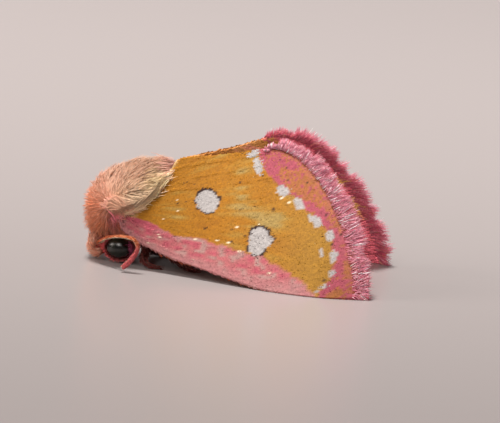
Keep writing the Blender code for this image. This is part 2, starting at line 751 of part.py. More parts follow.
def build():
    remove_old_objects()
    finish(head(), SALMON, 0.8)
    finish(thorax(), SALMON, 0.9)
    finish(abdomen(), CREAM, 0.9)
    for side_name, side in SIDES.items():
        finish(eye(f"eye_{side_name}", side), EYE_DARK, 0.2)
        finish(tube(f"antenna_{side_name}", ANTENNA_PATH, ANTENNA_RADII, side), PINK, 0.8)
        finish(tube(f"palp_{side_name}", PALP_PATH, PALP_RADII, side), PINK, 0.9)
        finish(forewing(f"forewing_{side_name}", side_name), OCHRE, 0.8)
        finish(hindwing(f"hindwing_{side_name}", side_name), CREAM, 0.8)
        for leg_name, path in LEG_PATHS.items():
            finish(tube(f"{leg_name}_{side_name}", path, LEG_RADII, side), BROWN, 0.8)


build()
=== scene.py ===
# Pink star moth at rest on a pale floor: the looks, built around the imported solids.
# The head points along -X, the wings' tips along +X, and the near wing faces -Y.
# Sizes are in millimetres in the tables below and become metres when a mesh is made.
import math

import bmesh
import bpy
import numpy as np
from mathutils import Matrix, Vector


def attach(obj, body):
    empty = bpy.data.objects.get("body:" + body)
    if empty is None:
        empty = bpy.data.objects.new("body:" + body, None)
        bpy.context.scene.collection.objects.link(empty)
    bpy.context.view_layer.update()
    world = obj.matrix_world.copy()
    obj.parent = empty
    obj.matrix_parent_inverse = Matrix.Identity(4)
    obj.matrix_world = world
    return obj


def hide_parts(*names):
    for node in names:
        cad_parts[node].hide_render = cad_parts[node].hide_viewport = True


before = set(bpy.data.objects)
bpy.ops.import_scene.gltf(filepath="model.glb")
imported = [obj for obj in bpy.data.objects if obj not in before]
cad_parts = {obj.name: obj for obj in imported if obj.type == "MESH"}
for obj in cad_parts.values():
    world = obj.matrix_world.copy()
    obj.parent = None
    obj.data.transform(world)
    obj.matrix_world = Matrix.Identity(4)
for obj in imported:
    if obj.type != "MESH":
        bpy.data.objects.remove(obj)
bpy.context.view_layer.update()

mm = 0.001
sides = {"left": -1, "right": 1}
body = "root"


# Small helpers

def toLinear(hexColour):
    parts = [int(hexColour[i:i + 2], 16) / 255 for i in (1, 3, 5)]
    return np.array([p / 12.92 if p <= 0.04045 else ((p + 0.055) / 1.055) ** 2.4 for p in parts])


def toPalette(hexColours):
    return np.array([toLinear(value) for value in hexColours])


def toPaints(hexColours):
    return {name: toLinear(value) for name, value in hexColours.items()}


def addNode(tree, kind, settings=None, values=None, links=None):
    node = tree.nodes.new(kind)
    for key, value in (settings or {}).items():
        setattr(node, key, value)
    for key, value in (values or {}).items():
        node.inputs[key].default_value = value
    for key, source in (links or {}).items():
        tree.links.new(source, node.inputs[key])
    return node


def unit(vectors):
    return vectors / np.maximum(np.linalg.norm(vectors, axis=-1, keepdims=True), 1e-9)


def layFlat(ways, normal):
    # The part of each direction that runs along the surface.
    return unit(ways - normal * np.sum(ways * normal, 1, keepdims=True))


def lineLength(places):
    return np.linalg.norm(np.diff(places, axis=0), axis=1).sum()


def smoothStep(value, low, high):
    t = np.clip((value - low) / (high - low), 0, 1)
    return t * t * (3 - 2 * t)


def mixColours(a, b, share):
    return a + (b - a) * np.asarray(share)[..., None]


def varyTints(tints, depth, draw):
    # Makes each colour a little lighter or darker than the next.
    return tints * (1 + depth * (draw.random(len(tints))[:, None] - 0.5))


def patchNoise(a, b, seed):
    # Smooth random values from 0 to 1 over a lattice one unit wide.
    i, j = np.floor(a).astype(np.int64), np.floor(b).astype(np.int64)
    s, t = a - i, b - j
    s, t = s * s * (3 - 2 * s), t * t * (3 - 2 * t)

    def corner(m, n):
        h = (m * 73856093) ^ (n * 19349663) ^ (seed * 83492791)
        h = ((h ^ (h >> 13)) * 1274126177) & 0x7fffffff
        return ((h ^ (h >> 16)) & 0xffff) / 65535

    low = corner(i, j) * (1 - s) + corner(i + 1, j) * s
    high = corner(i, j + 1) * (1 - s) + corner(i + 1, j + 1) * s
    return low * (1 - t) + high * t


def alongCurve(points, share):
    # Places on the smooth curve through the points, run on straight past either end.
    known = np.array(points, float)
    spans = len(known) - 1
    share = np.asarray(share, float)
    place = np.clip(share, 0, 1) * spans
    index = np.minimum(place.astype(int), spans - 1)
    t = (place - index)[..., None]
    ends = np.vstack([2 * known[0] - known[1], known, 2 * known[-1] - known[-2]])
    before, here, there, after = (ends[index + k] for k in range(4))
    found = 0.5 * (2 * here + (there - before) * t
                   + (2 * before - 5 * here + 4 * there - after) * t ** 2
                   + (3 * here - before - 3 * there + after) * t ** 3)
    found = found + (known[1] - known[0]) * (np.minimum(share, 0) * spans)[..., None]
    return found + (known[-1] - known[-2]) * (np.maximum(share - 1, 0) * spans)[..., None]


# Materials

def startMaterial(name):
    material = bpy.data.materials.new(name)
    material.use_nodes = True
    tree = material.node_tree
    return material, tree, tree.nodes["Principled BSDF"]


def addRamp(tree, source, stops):
    # Colours over the source's value, each stop a place from 0 to 1 and a hex colour.
    ramp = addNode(tree, "ShaderNodeValToRGB", None, None, {"Fac": source})
    for element, (place, hexColour) in zip(ramp.color_ramp.elements, stops):
        element.position = place
        element.color = (*toLinear(hexColour), 1)
    return ramp.outputs["Color"]


def makeMaterial(name, look):
    # The colour comes from the piece's own tint attribute, with a fine grain over it.
    material, tree, shader = startMaterial(name)
    tint = addNode(tree, "ShaderNodeAttribute", {"attribute_name": "tint"})
    place = addNode(tree, "ShaderNodeTexCoord")
    grain = addNode(tree, "ShaderNodeTexNoise", None,
                    {"Scale": 1 / (look["grainMm"] * mm), "Detail": 2.0, "Roughness": 0.6},
                    {"Vector": place.outputs["Object"]})
    shade = addNode(tree, "ShaderNodeMapRange", None,
                    {"From Min": 0.3, "From Max": 0.7, "To Min": 1 - look["grainDepth"],
                     "To Max": 1 + look["grainDepth"]}, {"Value": grain.outputs["Fac"]})
    toned = addNode(tree, "ShaderNodeVectorMath", {"operation": "SCALE"}, None,
                    {0: tint.outputs["Color"], "Scale": shade.outputs["Result"]})
    tree.links.new(toned.outputs["Vector"], shader.inputs["Base Color"])
    if look.get("bumpMm"):
        bump = addNode(tree, "ShaderNodeBump", None,
                       {"Strength": 0.6, "Distance": look["bumpMm"] * mm},
                       {"Height": grain.outputs["Fac"]})
        tree.links.new(bump.outputs["Normal"], shader.inputs["Normal"])
    shader.inputs["Roughness"].default_value = look["roughness"]
    shader.inputs["Specular IOR Level"].default_value = look.get("specular", 0.5)
    shader.inputs["Sheen Weight"].default_value = look.get("sheen", 0.0)
    shader.inputs["Sheen Roughness"].default_value = 0.4
    shader.inputs["Sheen Tint"].default_value = (*toLinear(look.get("sheenHex", "#ffffff")), 1)
    shader.inputs["IOR"].default_value = look.get("ior", 1.5)
    # Painted glow: emission in the material's own colour, standing in for light passing through thin
    # parts.
    if look.get("paintedGlow"):
        tree.links.new(toned.outputs["Vector"], shader.inputs["Emission Color"])
        shader.inputs["Emission Strength"].default_value = look["paintedGlow"]
    if look.get("through"):
        through = addNode(tree, "ShaderNodeBsdfTranslucent", None, None,
                          {"Color": toned.outputs["Vector"]})
        mix = addNode(tree, "ShaderNodeMixShader", None, {"Fac": look["through"]},
                      {1: shader.outputs["BSDF"], 2: through.outputs["BSDF"]})
        tree.links.new(mix.outputs["Shader"], tree.nodes["Material Output"].inputs["Surface"])
    return material


looks = {
    # Wing scales are ribbed chitin plates: matt and powdery, with a faint glint where they lie flat.
    "wingScaleChitin": {"roughness": 0.7, "specular": 0.2, "grainMm": 0.06, "grainDepth": 0.18},
    # The bare membrane between them is thin dry chitin, a little duller.
    "wingMembraneChitin": {"roughness": 0.75, "specular": 0.25, "grainMm": 0.08, "grainDepth": 0.2,
                           "bumpMm": 0.012},
    # The wings' inner faces: duller, with a weak painted glow standing in for the light that passes
    # through the wing.
    "wingUnderChitin": {"roughness": 0.7, "specular": 0.3, "grainMm": 0.08, "grainDepth": 0.14,
                        "paintedGlow": 0.22},
    # Fringe scales are long, silvery at the tips and thin enough to let light through; a weak painted
    # glow adds to it.
    "fringeScaleChitin": {"roughness": 0.45, "specular": 0.5, "grainMm": 0.1, "grainDepth": 0.08,
                          "through": 0.3, "paintedGlow": 0.1},
    # The fur is hair-like scales, soft and almost without gloss.
    "furScaleChitin": {"roughness": 0.7, "specular": 0.25, "grainMm": 0.12, "grainDepth": 0.08,
                       "sheen": 0.3, "sheenHex": "#ffe2cf", "through": 0.3},
    # Skin under the fur: brown sclerotised cuticle.
    "bodyCuticle": {"roughness": 0.55, "specular": 0.4, "grainMm": 0.1, "grainDepth": 0.15,
                    "bumpMm": 0.02},
}
materials = {name: makeMaterial(name, look) for name, look in looks.items()}


eyeLook = {
    # Real facets are about 0.02 mm across, drawn coarser here so that they show.
    "facetMm": 0.045, "facetDepthMm": 0.006, "facetRandomness": 0.35, "patchMm": 0.35,
    "stops": ((0.38, "#060705"), (0.66, "#1b1d14")), "roughness": 0.22, "ior": 1.52,
}


def makeEyeMaterial():
    # A compound eye is a sheet of tiny clear lenses over dark pigment: black-green and glossy.
    material, tree, shader = startMaterial("compoundEyeCornea")
    place = addNode(tree, "ShaderNodeTexCoord")
    facets = addNode(tree, "ShaderNodeTexVoronoi", {"feature": "F1"},
                     {"Scale": 1 / (eyeLook["facetMm"] * mm), "Randomness": eyeLook["facetRandomness"]},
                     {"Vector": place.outputs["Object"]})
    patch = addNode(tree, "ShaderNodeTexNoise", None,
                    {"Scale": 1 / (eyeLook["patchMm"] * mm), "Detail": 1.0},
                    {"Vector": place.outputs["Object"]})
    tree.links.new(addRamp(tree, patch.outputs["Fac"], eyeLook["stops"]), shader.inputs["Base Color"])
    bump = addNode(tree, "ShaderNodeBump", {"invert": True},
                   {"Strength": 0.5, "Distance": eyeLook["facetDepthMm"] * mm},
                   {"Height": facets.outputs["Distance"]})
    tree.links.new(bump.outputs["Normal"], shader.inputs["Normal"])
    shader.inputs["Roughness"].default_value = eyeLook["roughness"]
    shader.inputs["IOR"].default_value = eyeLook["ior"]
    return material


# Wings

veins = {
    "places": (0.05, 0.17, 0.29, 0.41, 0.53, 0.65, 0.77, 0.90),
    "starts": (0.0, 0.0, 0.5, 0.5, 0.5, 0.0, 0.35, 0.0),
    "rise": 0.008,
    "halfWidth": 0.012,
}
surface = {
    "footAtRoot": 2.05, "footSpread": 3.35, "footStartX": -5.6, "footRun": 10.4, "footCurve": 1.25,
    "tipTuck": 0.8, "tipTuckStartX": 4.0, "tipTuckRun": 3.0,
    "ridgeHalfWidth": 0.64, "shoulderExtra": 1.15, "shoulderStartX": -1.0, "shoulderRun": 4.5,
    "ridgeRise": 0.235, "bulge": 0.25,
}
leadingEdge = [(-5.75, 2.5), (-5.4, 1.8), (-4.45, 1.24), (-3.05, 0.8), (-1.3, 0.52), (0.6, 0.2),
               (2.1, 0.03)]
forewings = {
    "left": {
        "ridgeHeight": 5.7,
        "root": [(-5.75, 2.5), (-5.15, 2.7), (-4.65, 3.1), (-3.85, 3.85), (-3.35, 4.95)],
        "leading": leadingEdge + [(4.5, 0.0), (6.4, 0.05)],
        "trailing": [(-3.35, 4.95), (-2.9, 5.2), (-1.8, 5.36), (-0.4, 5.62), (0.85, 5.92)],
        "margin": [(6.4, 0.05), (5.8, 3.7), (3.1, 6.6), (0.85, 5.92)],
    },
    "right": {
        "ridgeHeight": 6.3,
        "root": [(-5.75, 2.5), (-5.15, 2.7), (-4.65, 3.15), (-3.85, 3.9), (-3.35, 4.8)],
        "leading": leadingEdge + [(4.3, 0.0), (6.05, 0.05)],
        "trailing": [(-3.35, 4.8), (-2.0, 5.25), (-0.7, 5.68), (0.6, 6.2)],
        "margin": [(6.05, 0.05), (5.2, 3.2), (2.9, 7.2), (0.6, 6.2)],
    },
}
hindwing = {
    "root": [(-2.4, 2.4), (-2.4, 2.8), (-2.4, 3.2)],
    "leading": [(-2.4, 2.4), (-1.0, 1.8), (1.2, 1.5), (3.6, 1.35)],
    "trailing": [(-2.4, 3.2), (-1.2, 3.45), (0.3, 3.8), (1.5, 4.1)],
    "margin": [(3.6, 1.35), (4.3, 2.6), (3.4, 4.2), (1.5, 4.1)],
    "sink": 0.95, "thickness": 0.06,
}


def outlinePlace(shape, along, across):
    # Blends the wing's four edges: along from root to outer margin, across from front to back.
    u, v = np.asarray(along)[..., None], np.asarray(across)[..., None]
    a, b, c, d = (np.array(point) for point in shape["margin"])
    margin = a * (1 - v) ** 3 + 3 * b * (1 - v) ** 2 * v + 3 * c * (1 - v) * v ** 2 + d * v ** 3
    lead, trail = np.array(shape["leading"]), np.array(shape["trailing"])
    ends = (lead[0] * (1 - u) * (1 - v) + lead[-1] * u * (1 - v)
            + trail[0] * (1 - u) * v + trail[-1] * u * v)
    edges = alongCurve(lead, along) * (1 - v) + alongCurve(trail, along) * v
    return edges + alongCurve(shape["root"], across) * (1 - u) + margin * u - ends


def standOut(x, z, ridgeHeight):
    # How far the wing's outer face stands from the midline at this place in side view.
    s = surface
    turn = np.clip((x - s["footStartX"]) / s["footRun"], 0, 1) * np.pi / 2
    tuck = np.clip((x - s["tipTuckStartX"]) / s["tipTuckRun"], 0, 2)
    foot = s["footAtRoot"] + s["footSpread"] * np.sin(turn) ** s["footCurve"]
    foot = foot - s["tipTuck"] * tuck ** 2
    shoulder = np.clip((s["shoulderStartX"] - x) / s["shoulderRun"], 0, 1)
    ridge = s["ridgeHalfWidth"] + s["shoulderExtra"] * shoulder ** 1.5
    share = z / (ridgeHeight + s["ridgeRise"] * x)
    return foot * (1 - share) + ridge * share + 4 * s["bulge"] * share * (1 - share)


def wingPlace(shape, sideName, along, across):
    place = outlinePlace(shape, along, across)
    x, z = place[..., 0], place[..., 1]
    reach = standOut(x, z, forewings[sideName]["ridgeHeight"])
    return np.stack([x, sides[sideName] * reach, z], -1)


def wingFrame(shape, sideName, along, across, step=0.004):
    # The place on the wing, the way out of its outer face, and the way towards the margin.
    here = wingPlace(shape, sideName, along, across)
    onward = wingPlace(shape, sideName, along + step, across) - here
    upward = wingPlace(shape, sideName, along, across + step) - here
    normal = unit(np.cross(onward, upward))
    normal = normal * np.sign(normal[..., 1:2] * sides[sideName])
    return here, normal, unit(onward)


def veinRise(along, across):
    rise = np.zeros_like(across)
    for place, start in zip(veins["places"], veins["starts"]):
        bump = np.exp(-((across - place) / veins["halfWidth"]) ** 2)
        rise = np.maximum(rise, bump * smoothStep(along, start - 0.02, start + 0.04))
    return rise * veins["rise"] * (1 - 0.4 * along)


# Wing markings, drawn on the near wing's side view and carried to the far wing by its outline

# The glint paint is a painted highlight.
paint = toPaints({
    "ochre": "#a56c0c", "deepOchre": "#965d04", "straw": "#a2873c", "greyStraw": "#a18f5d",
    "pink": "#b26567", "deepPink": "#b24c5e", "palePink": "#b07878", "mottle": "#a58c84",
    "bandPink": "#a44c5a", "bandOrange": "#a2672c", "peach": "#e3a095", "white": "#b0aba9",
    "cream": "#cfae7a", "spotRim": "#2c120c", "fleck": "#3a2012", "glint": "#fff0d0",
})
# The pink band's upper edge and the line of the row of white spots, as places in side view.
bandTop = [(-5.9, 2.62), (-4.8, 2.44), (-4.16, 2.19), (-3.57, 2.02), (-3.01, 1.87), (-2.38, 1.84),
           (-0.39, 1.66), (0.75, 1.55), (1.4, 1.48), (2.28, 1.16), (3.37, 0.67), (4.01, 0.22),
           (4.4, -0.1)]
rowLine = [(4.25, -0.2), (4.15, 0.28), (4.5, 0.52), (4.8, 1.11), (4.84, 1.84), (4.5, 2.69),
           (3.79, 3.25), (2.92, 3.86), (2.0, 4.35), (0.72, 5.21), (0.45, 5.64), (0.15, 6.3)]
bigSpots = [
    # Centre, then the radius at each angle from the wing's tip side, in degrees.
    {"at": (-1.59, 3.45), "angles": (-180, -120, -60, 0, 60, 120, 180),
     "radii": (0.55, 0.46, 0.5, 0.56, 0.47, 0.52, 0.55)},
    {"at": (1.2, 2.08), "angles": (-180, -132, -109, -70, -35, -10, 15, 45, 80, 106, 135, 180),
     "radii": (0.52, 0.64, 0.64, 0.5, 0.36, 0.48, 0.62, 0.5, 0.58, 0.64, 0.64, 0.52)},
]
rowSpots = [
    # Centre, half length, half width and tilt in degrees.
    ((0.2, 5.66), 0.26, 0.13, 15), ((0.55, 5.2), 0.4, 0.19, -62), ((1.9, 4.35), 0.32, 0.21, -15),
    ((2.81, 3.86), 0.36, 0.19, -25), ((3.68, 3.25), 0.38, 0.21, -38), ((4.42, 2.69), 0.26, 0.2, -50),
    ((4.76, 1.84), 0.28, 0.17, -75), ((4.75, 1.11), 0.18, 0.15, 50), ((4.48, 0.52), 0.15, 0.07, 10),
    ((4.14, 0.3), 0.08, 0.05, 20), ((4.14, 1.92), 0.27, 0.06, -80),
]
streakCentre = (-7.6, 2.4)
whiteBlue = 0.36  # only the white scales and the glints have more linear blue than this

# Small marks: dark scales, and painted glints, white dots painted where scales would catch the light.
flecksAndPaintedGlints = [
    {"paint": "fleck", "count": 80, "radius": (0.015, 0.045), "seed": 15},
    {"paint": "glint", "count": 170, "radius": (0.008, 0.024), "seed": 16},
]


def edgeNoise(x, z, seed, cell=0.11):
    return patchNoise(x / cell, z / cell, seed) - 0.5


def groundTints(x, z, along):
    # Ochre with fine streaks that fan out from the root, and cream mottling beside it.
    ahead, above = x - streakCentre[0], z - streakCentre[1]
    radius, angle = np.hypot(ahead, above), np.arctan2(above, ahead)
    streak = (patchNoise(radius / 1.5, angle / 0.045, 3) * 0.6
              + patchNoise(radius / 0.6, angle / 0.016, 4) * 0.4)
    cloud = patchNoise(x / 1.7, z / 1.0, 5)
    tints = mixColours(paint["ochre"], paint["straw"], 0.6 * smoothStep(streak + 0.5 * cloud, 0.7, 1.2))
    tints = mixColours(tints, paint["greyStraw"], 0.5 * smoothStep(streak * cloud, 0.4, 0.6))
    tints = mixColours(tints, paint["deepOchre"], 0.6 * smoothStep(1 - streak - 0.3 * cloud, 0.45, 0.75))
    tints = mixColours(tints, paint["straw"], 0.35 * smoothStep(x, 0.5, 4.0))
    nearRoot = smoothStep(0.14 - along + 0.12 * (patchNoise(x / 0.35, z / 0.2, 17) - 0.5), 0, 0.12)
    return mixColours(tints, paint["cream"], 0.75 * nearRoot)


def addFrontBand(tints, x, z, across):
    # The pink band along the leading edge, mottled grey, deeper along its top near the root.
    top = np.interp(x, *np.array(bandTop).T)
    below = top - z + 0.16 * edgeNoise(x, z, 6, 0.3) + 0.1 * edgeNoise(x, z, 7)
    mottle = patchNoise(x / 0.3, z / 0.16, 8)
    band = mixColours(paint["pink"], paint["mottle"], 0.75 * smoothStep(mottle, 0.55, 0.85))
    band = mixColours(band, paint["deepPink"], 0.8 * smoothStep(1 - mottle, 0.5, 0.9))
    rootward = smoothStep(-x, 1.5, 4.5)
    band = mixColours(band, paint["deepPink"], 0.75 * rootward * smoothStep(0.55 - below, 0, 0.4))
    band = mixColours(band, paint["palePink"], 0.8 * smoothStep(0.09 - across, 0, 0.06))
    return mixColours(tints, band, smoothStep(below, -0.05, 0.05))


def addOuterBand(tints, x, z, along, draw):
    # Outside the row of white spots: pink beside them, orange towards the margin.
    count = len(x)
    line = np.array(rowLine)
    out = x - np.interp(z, line[:, 1], line[:, 0]) + 0.25 * edgeNoise(x, z, 9, 0.35)
    edge = np.clip((1 - along) / 0.15, 0, 1)
    blotch = patchNoise(x / 0.75, z / 0.6, 10) * 0.7 + patchNoise(x / 0.3, z / 0.3, 11) * 0.3
    towards = 0.22 * smoothStep(out, 0.2, 0.9) - 0.3 * smoothStep(0.5 - out, 0, 0.4)
    orange = smoothStep(blotch + towards, 0.48, 0.78)
    speckle = draw.random(count) < np.clip(orange * 0.8 + 0.06, 0, 1)
    outer = np.where(speckle[:, None], paint["bandOrange"], paint["bandPink"])
    outer = mixColours(outer, paint["deepPink"], 0.35 * draw.random(count))
    tints = mixColours(tints, outer, smoothStep(out, -0.03, 0.05))
    tints = mixColours(tints, paint["pink"], 0.6 * smoothStep(0.55 - edge, 0, 0.4) * draw.random(count))
    return mixColours(tints, paint["peach"], smoothStep(0.12 - edge, 0, 0.05))


def addFlecksAndPaintedGlints(tints, x, z):
    # A few scales are dark, and a few carry a painted glint, a white dot standing in for a highlight.
    for scaleMark in flecksAndPaintedGlints:
        spread = np.random.default_rng(scaleMark["seed"])
        for _ in range(scaleMark["count"]):
            far = np.hypot(x - spread.uniform(-5.0, 5.5), z - spread.uniform(0.3, 6.0))
            tints[far < spread.uniform(*scaleMark["radius"])] = paint[scaleMark["paint"]]


def addSpots(tints, x, z, draw):
    # White spots, the two big ones with a broken dark rim.
    for spot in bigSpots:
        dx, dz = x - spot["at"][0], z - spot["at"][1]
        bearing = np.degrees(np.arctan2(dz, dx))
        reach = np.interp(bearing, spot["angles"], spot["radii"])
        gap = np.hypot(dx, dz) - reach + 0.06 * edgeNoise(x, z, 12, 0.08)
        rimWidth = 0.03 + 0.08 * smoothStep(patchNoise(bearing / 12, gap * 0, 13), 0.15, 0.75)
        tints[gap < rimWidth] = paint["spotRim"]
        tints[gap < 0] = paint["white"]
    for centre, long, short, tilt in rowSpots:
        turn = math.radians(tilt)
        dx, dz = x - centre[0], z - centre[1]
        a = (dx * math.cos(turn) + dz * math.sin(turn)) / long
        b = (-dx * math.sin(turn) + dz * math.cos(turn)) / short
        inside = np.hypot(a, b) + 0.5 * edgeNoise(x, z, 14, 0.12) < 1
        tints[inside] = paint["white"]
    bright = tints[:, 2] > whiteBlue
    tints[bright] *= (0.86 + 0.2 * draw.random(bright.sum()))[:, None]


def wingTints(along, across, draw):
    # One colour for each place on the outer face of either forewing.
    place = outlinePlace(forewings["left"], along, across)
    x, z = place[..., 0], place[..., 1]
    tints = addFrontBand(groundTints(x, z, along), x, z, across)
    tints = varyTints(addOuterBand(tints, x, z, along, draw), 0.22, draw)
    addFlecksAndPaintedGlints(tints, x, z)
    addSpots(tints, x, z, draw)
    return tints


underPaint = toPaints({
    "brownOchre": "#b97a3d", "straw": "#dfa35c", "pink": "#e87f8e", "rose": "#e8707e",
    "shadeMaroon": "#7c2620",
})


def underTints(along, across, draw):
    # The inner face of either forewing: brownish ochre, pink towards the margin and front, and painted
    # dark maroon towards the leading edge short of the margin: painted shade inside the wings' tent.
    cloud = patchNoise(along * 7, across * 4, 21) * 0.6 + patchNoise(along * 20, across * 12, 22) * 0.4
    tints = mixColours(underPaint["brownOchre"], underPaint["straw"], smoothStep(cloud, 0.35, 0.75))
    # Painted shade: dark maroon inside the tent of the wings.
    paintedShade = smoothStep(0.62 - across, 0.0, 0.3) * smoothStep(0.85 - along, 0, 0.3)
    tints = mixColours(tints, underPaint["shadeMaroon"], 0.85 * paintedShade)
    margin = smoothStep(along + 0.14 * (cloud - 0.5), 0.84, 0.93)
    patches = smoothStep(patchNoise(across * 16, along * 9, 23), 0.62, 0.8)
    rose = mixColours(underPaint["rose"], underPaint["straw"], patches)
    tints = mixColours(tints, rose, margin)
    tints = mixColours(tints, underPaint["pink"], 0.5 * smoothStep(cloud, 0.5, 0.9))
    return varyTints(tints, 0.3, draw)


hindPaint = toPaints({"cream": "#d6b78c", "blush": "#cf9489", "edge": "#c77b86"})


def hindTints(along, across, draw):
    cloud = patchNoise(along * 6, across * 9, 31)
    tints = mixColours(hindPaint["cream"], hindPaint["blush"], smoothStep(cloud + along * 0.4, 0.4, 1.1))
    tints = mixColours(tints, hindPaint["edge"], smoothStep(along, 0.8, 0.97))
    return varyTints(tints, 0.2, draw)


# Mesh makers

def addObject(name, data):
    thing = bpy.data.objects.new(name, data)
    bpy.context.scene.collection.objects.link(thing)
    return thing


def finishPiece(thing, nodes, material):
    thing.data.materials.append(material)
    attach(thing, body)
    if nodes:
        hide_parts(*nodes)
    return thing


def setTints(mesh, tints):
    layer = mesh.color_attributes.new("tint", "FLOAT_COLOR", "POINT")
    values = np.ones((len(mesh.vertices), 4), np.float32)
    values[:, :3] = np.clip(tints, 0, 1)
    layer.data.foreach_set("color", values.ravel())


def makeThing(name, bm):
    mesh = bpy.data.meshes.new(name)
    bm.to_mesh(mesh)
    bm.free()
    mesh.shade_smooth()
    return addObject(name, mesh)


def makeSolid(name, bm):
    # As makeThing, for a closed mesh drawn in millimetres.
    bmesh.ops.recalc_face_normals(bm, faces=bm.faces)
    bmesh.ops.scale(bm, vec=(mm, mm, mm), verts=bm.verts)
    return makeThing(name, bm)


def makeTuft(rings, sideCount=3):
    # A closed tapering tuft one unit long: each ring is its place, half width and half height.
    bm = bmesh.new()
    bmesh.ops.create_circle(bm, segments=sideCount, radius=1.0, cap_ends=True)
    turn = Matrix.Rotation(math.pi / 2, 4, "Y")
    bmesh.ops.transform(bm, matrix=turn, verts=bm.verts)
    end = bm.faces[:][0]
    base = [vert.co.copy() for vert in bm.verts]
    for vert, co in zip(bm.verts, base):
        vert.co = (rings[0][0], co.y * rings[0][1], co.z * rings[0][2])
    for number, (place, wide, high) in enumerate(rings[1:]):
        made = bmesh.ops.extrude_face_region(bm, geom=[end])["geom"]
        if number:
            bmesh.ops.delete(bm, geom=[end], context="FACES_ONLY")
        verts = [item for item in made if isinstance(item, bmesh.types.BMVert)]
        for vert in verts:
            wasWide, wasHigh = rings[number][1], rings[number][2]
            vert.co = (place, vert.co.y / wasWide * wide, vert.co.z / wasHigh * high)
        end = next(item for item in made if isinstance(item, bmesh.types.BMFace))
    bmesh.ops.triangulate(bm, faces=bm.faces)
    bmesh.ops.recalc_face_normals(bm, faces=bm.faces)
    bm.verts.index_update()
    coords = np.array([vert.co[:] for vert in bm.verts])
    corners = np.array([[vert.index for vert in face.verts] for face in bm.faces])
    bm.free()
    return coords, corners


floorClear = 0.01
patchSize = 0.003  # each tuft's width on the unwrap
coatCount = []


def growCoat(name, tuft, form, at, onward, upward, length, bend, tints, patches, look):
    # One joined mesh of tufts, their half width and half height from the form. bend: a vector that
    # the tip is drawn by; tints: root and tip colours; patches: each tuft's place on the unwrap.
    coords, corners = tuft
    count, perTuft = len(at), len(coords)
    side = unit(np.cross(upward, onward))
    upward = unit(np.cross(onward, side))
    u = coords[:, 0]
    places = (at[:, None] + onward[:, None] * u[None, :, None] * length[:, None, None]
              + side[:, None] * coords[None, :, 1:2] * form["halfWidth"]
              + upward[:, None] * coords[None, :, 2:3] * form["halfHeight"]
              + bend[:, None] * (u ** 2)[None, :, None])
    places[..., 2] = np.maximum(places[..., 2], floorClear)
    mesh = bpy.data.meshes.new(name)
    mesh.vertices.add(count * perTuft)
    mesh.vertices.foreach_set("co", (places * mm).astype(np.float32).ravel())
    faces = (corners[None] + (np.arange(count) * perTuft)[:, None, None]).reshape(-1, 3)
    mesh.loops.add(faces.size)
    mesh.loops.foreach_set("vertex_index", faces.ravel().astype(np.int32))
    mesh.polygons.add(len(faces))
    mesh.polygons.foreach_set("loop_start", np.arange(0, faces.size, 3, dtype=np.int32))
    mesh.update(calc_edges=True)
    mesh.shade_smooth()
    rootTint, tipTint = tints
    blend = np.clip(u, 0, 1)[None, :, None]
    setTints(mesh, (rootTint[:, None] * (1 - blend) + tipTint[:, None] * blend).reshape(-1, 3))
    patch = np.stack([u - 0.5, coords[:, 1] * 0.5], -1) * patchSize
    spread = (patches[:, None] + patch[None]).reshape(-1, 2)
    layer = mesh.uv_layers.new(name="OFBake")
    layer.data.foreach_set("uv", spread[faces.ravel()].astype(np.float32).ravel())
    finishPiece(addObject(name, mesh), (), materials[look])
    coatCount.append(len(faces))


def membrane(name, shape, sideName, sink, thickness, steps, tintOuter, tintInner, nodes):
    # A thin closed sheet on the wing's own surface, with the veins raised on both faces.
    bm = bmesh.new()
    bmesh.ops.create_grid(bm, x_segments=steps[0], y_segments=steps[1], size=0.5)
    bmesh.ops.triangulate(bm, faces=bm.faces, quad_method="FIXED")
    flat = np.array([vert.co[:] for vert in bm.verts])
    made = bmesh.ops.extrude_face_region(bm, geom=bm.faces[:])["geom"]
    under = [item for item in made if isinstance(item, bmesh.types.BMVert)]
    flatUnder = np.array([vert.co[:] for vert in under])
    top = bm.verts[:len(flat)]
    draw = np.random.default_rng(5)
    tints = np.zeros((len(bm.verts), 3))
    bm.verts.index_update()
    for verts, flatPlaces, offset, tinter in ((top, flat, -sink, tintOuter),
                                              (under, flatUnder, -sink - thickness, tintInner)):
        along, across = flatPlaces[:, 0] + 0.5, flatPlaces[:, 1] + 0.5
        here, normal, _ = wingFrame(shape, sideName, along, across)
        here = here + normal * (offset + veinRise(along, across))[:, None]
        here[:, 2] = np.maximum(here[:, 2], floorClear)
        colours = tinter(along, across, draw) * wingCoat["membraneShade"]
        for vert, place, colour in zip(verts, here, colours):
            vert.co = place * mm
            tints[vert.index] = colour
    bmesh.ops.triangulate(bm, faces=[face for face in bm.faces if len(face.verts) > 3])
    bmesh.ops.recalc_face_normals(bm, faces=bm.faces)
    thing = makeThing(name, bm)
    setTints(thing.data, tints)
    return finishPiece(thing, nodes, materials["wingMembraneChitin"])


nearScale = {"rowMm": 0.068, "gapMm": 0.057, "length": 0.16, "halfWidth": 0.033, "halfHeight": 0.004,
             "lift": 0.026, "sway": 0.3}
wingCoat = {
    "outer": {"left": [nearScale, nearScale],
              "right": [dict(nearScale, rowMm=0.074, gapMm=0.062, length=0.21, halfWidth=0.037)]},
    "under": {"rowMm": 0.12, "gapMm": 0.09, "length": 0.3, "halfWidth": 0.06, "halfHeight": 0.006,
              "lift": 0.08, "sway": 0.22},
    "membraneSink": 0.04, "membraneThickness": 0.07, "membraneSteps": (100, 100),
    "membraneShade": 0.8, "hindwingSteps": (60, 60), "hindwingPerMm": {1: 60},
}
scaleTuft = makeTuft([(0.0, 0.55, 1.0), (1.0, 1.0, 0.5)])


def patchPlaces(along, across):
    return np.stack([0.02 + 0.96 * along, 0.02 + 0.96 * across], -1)


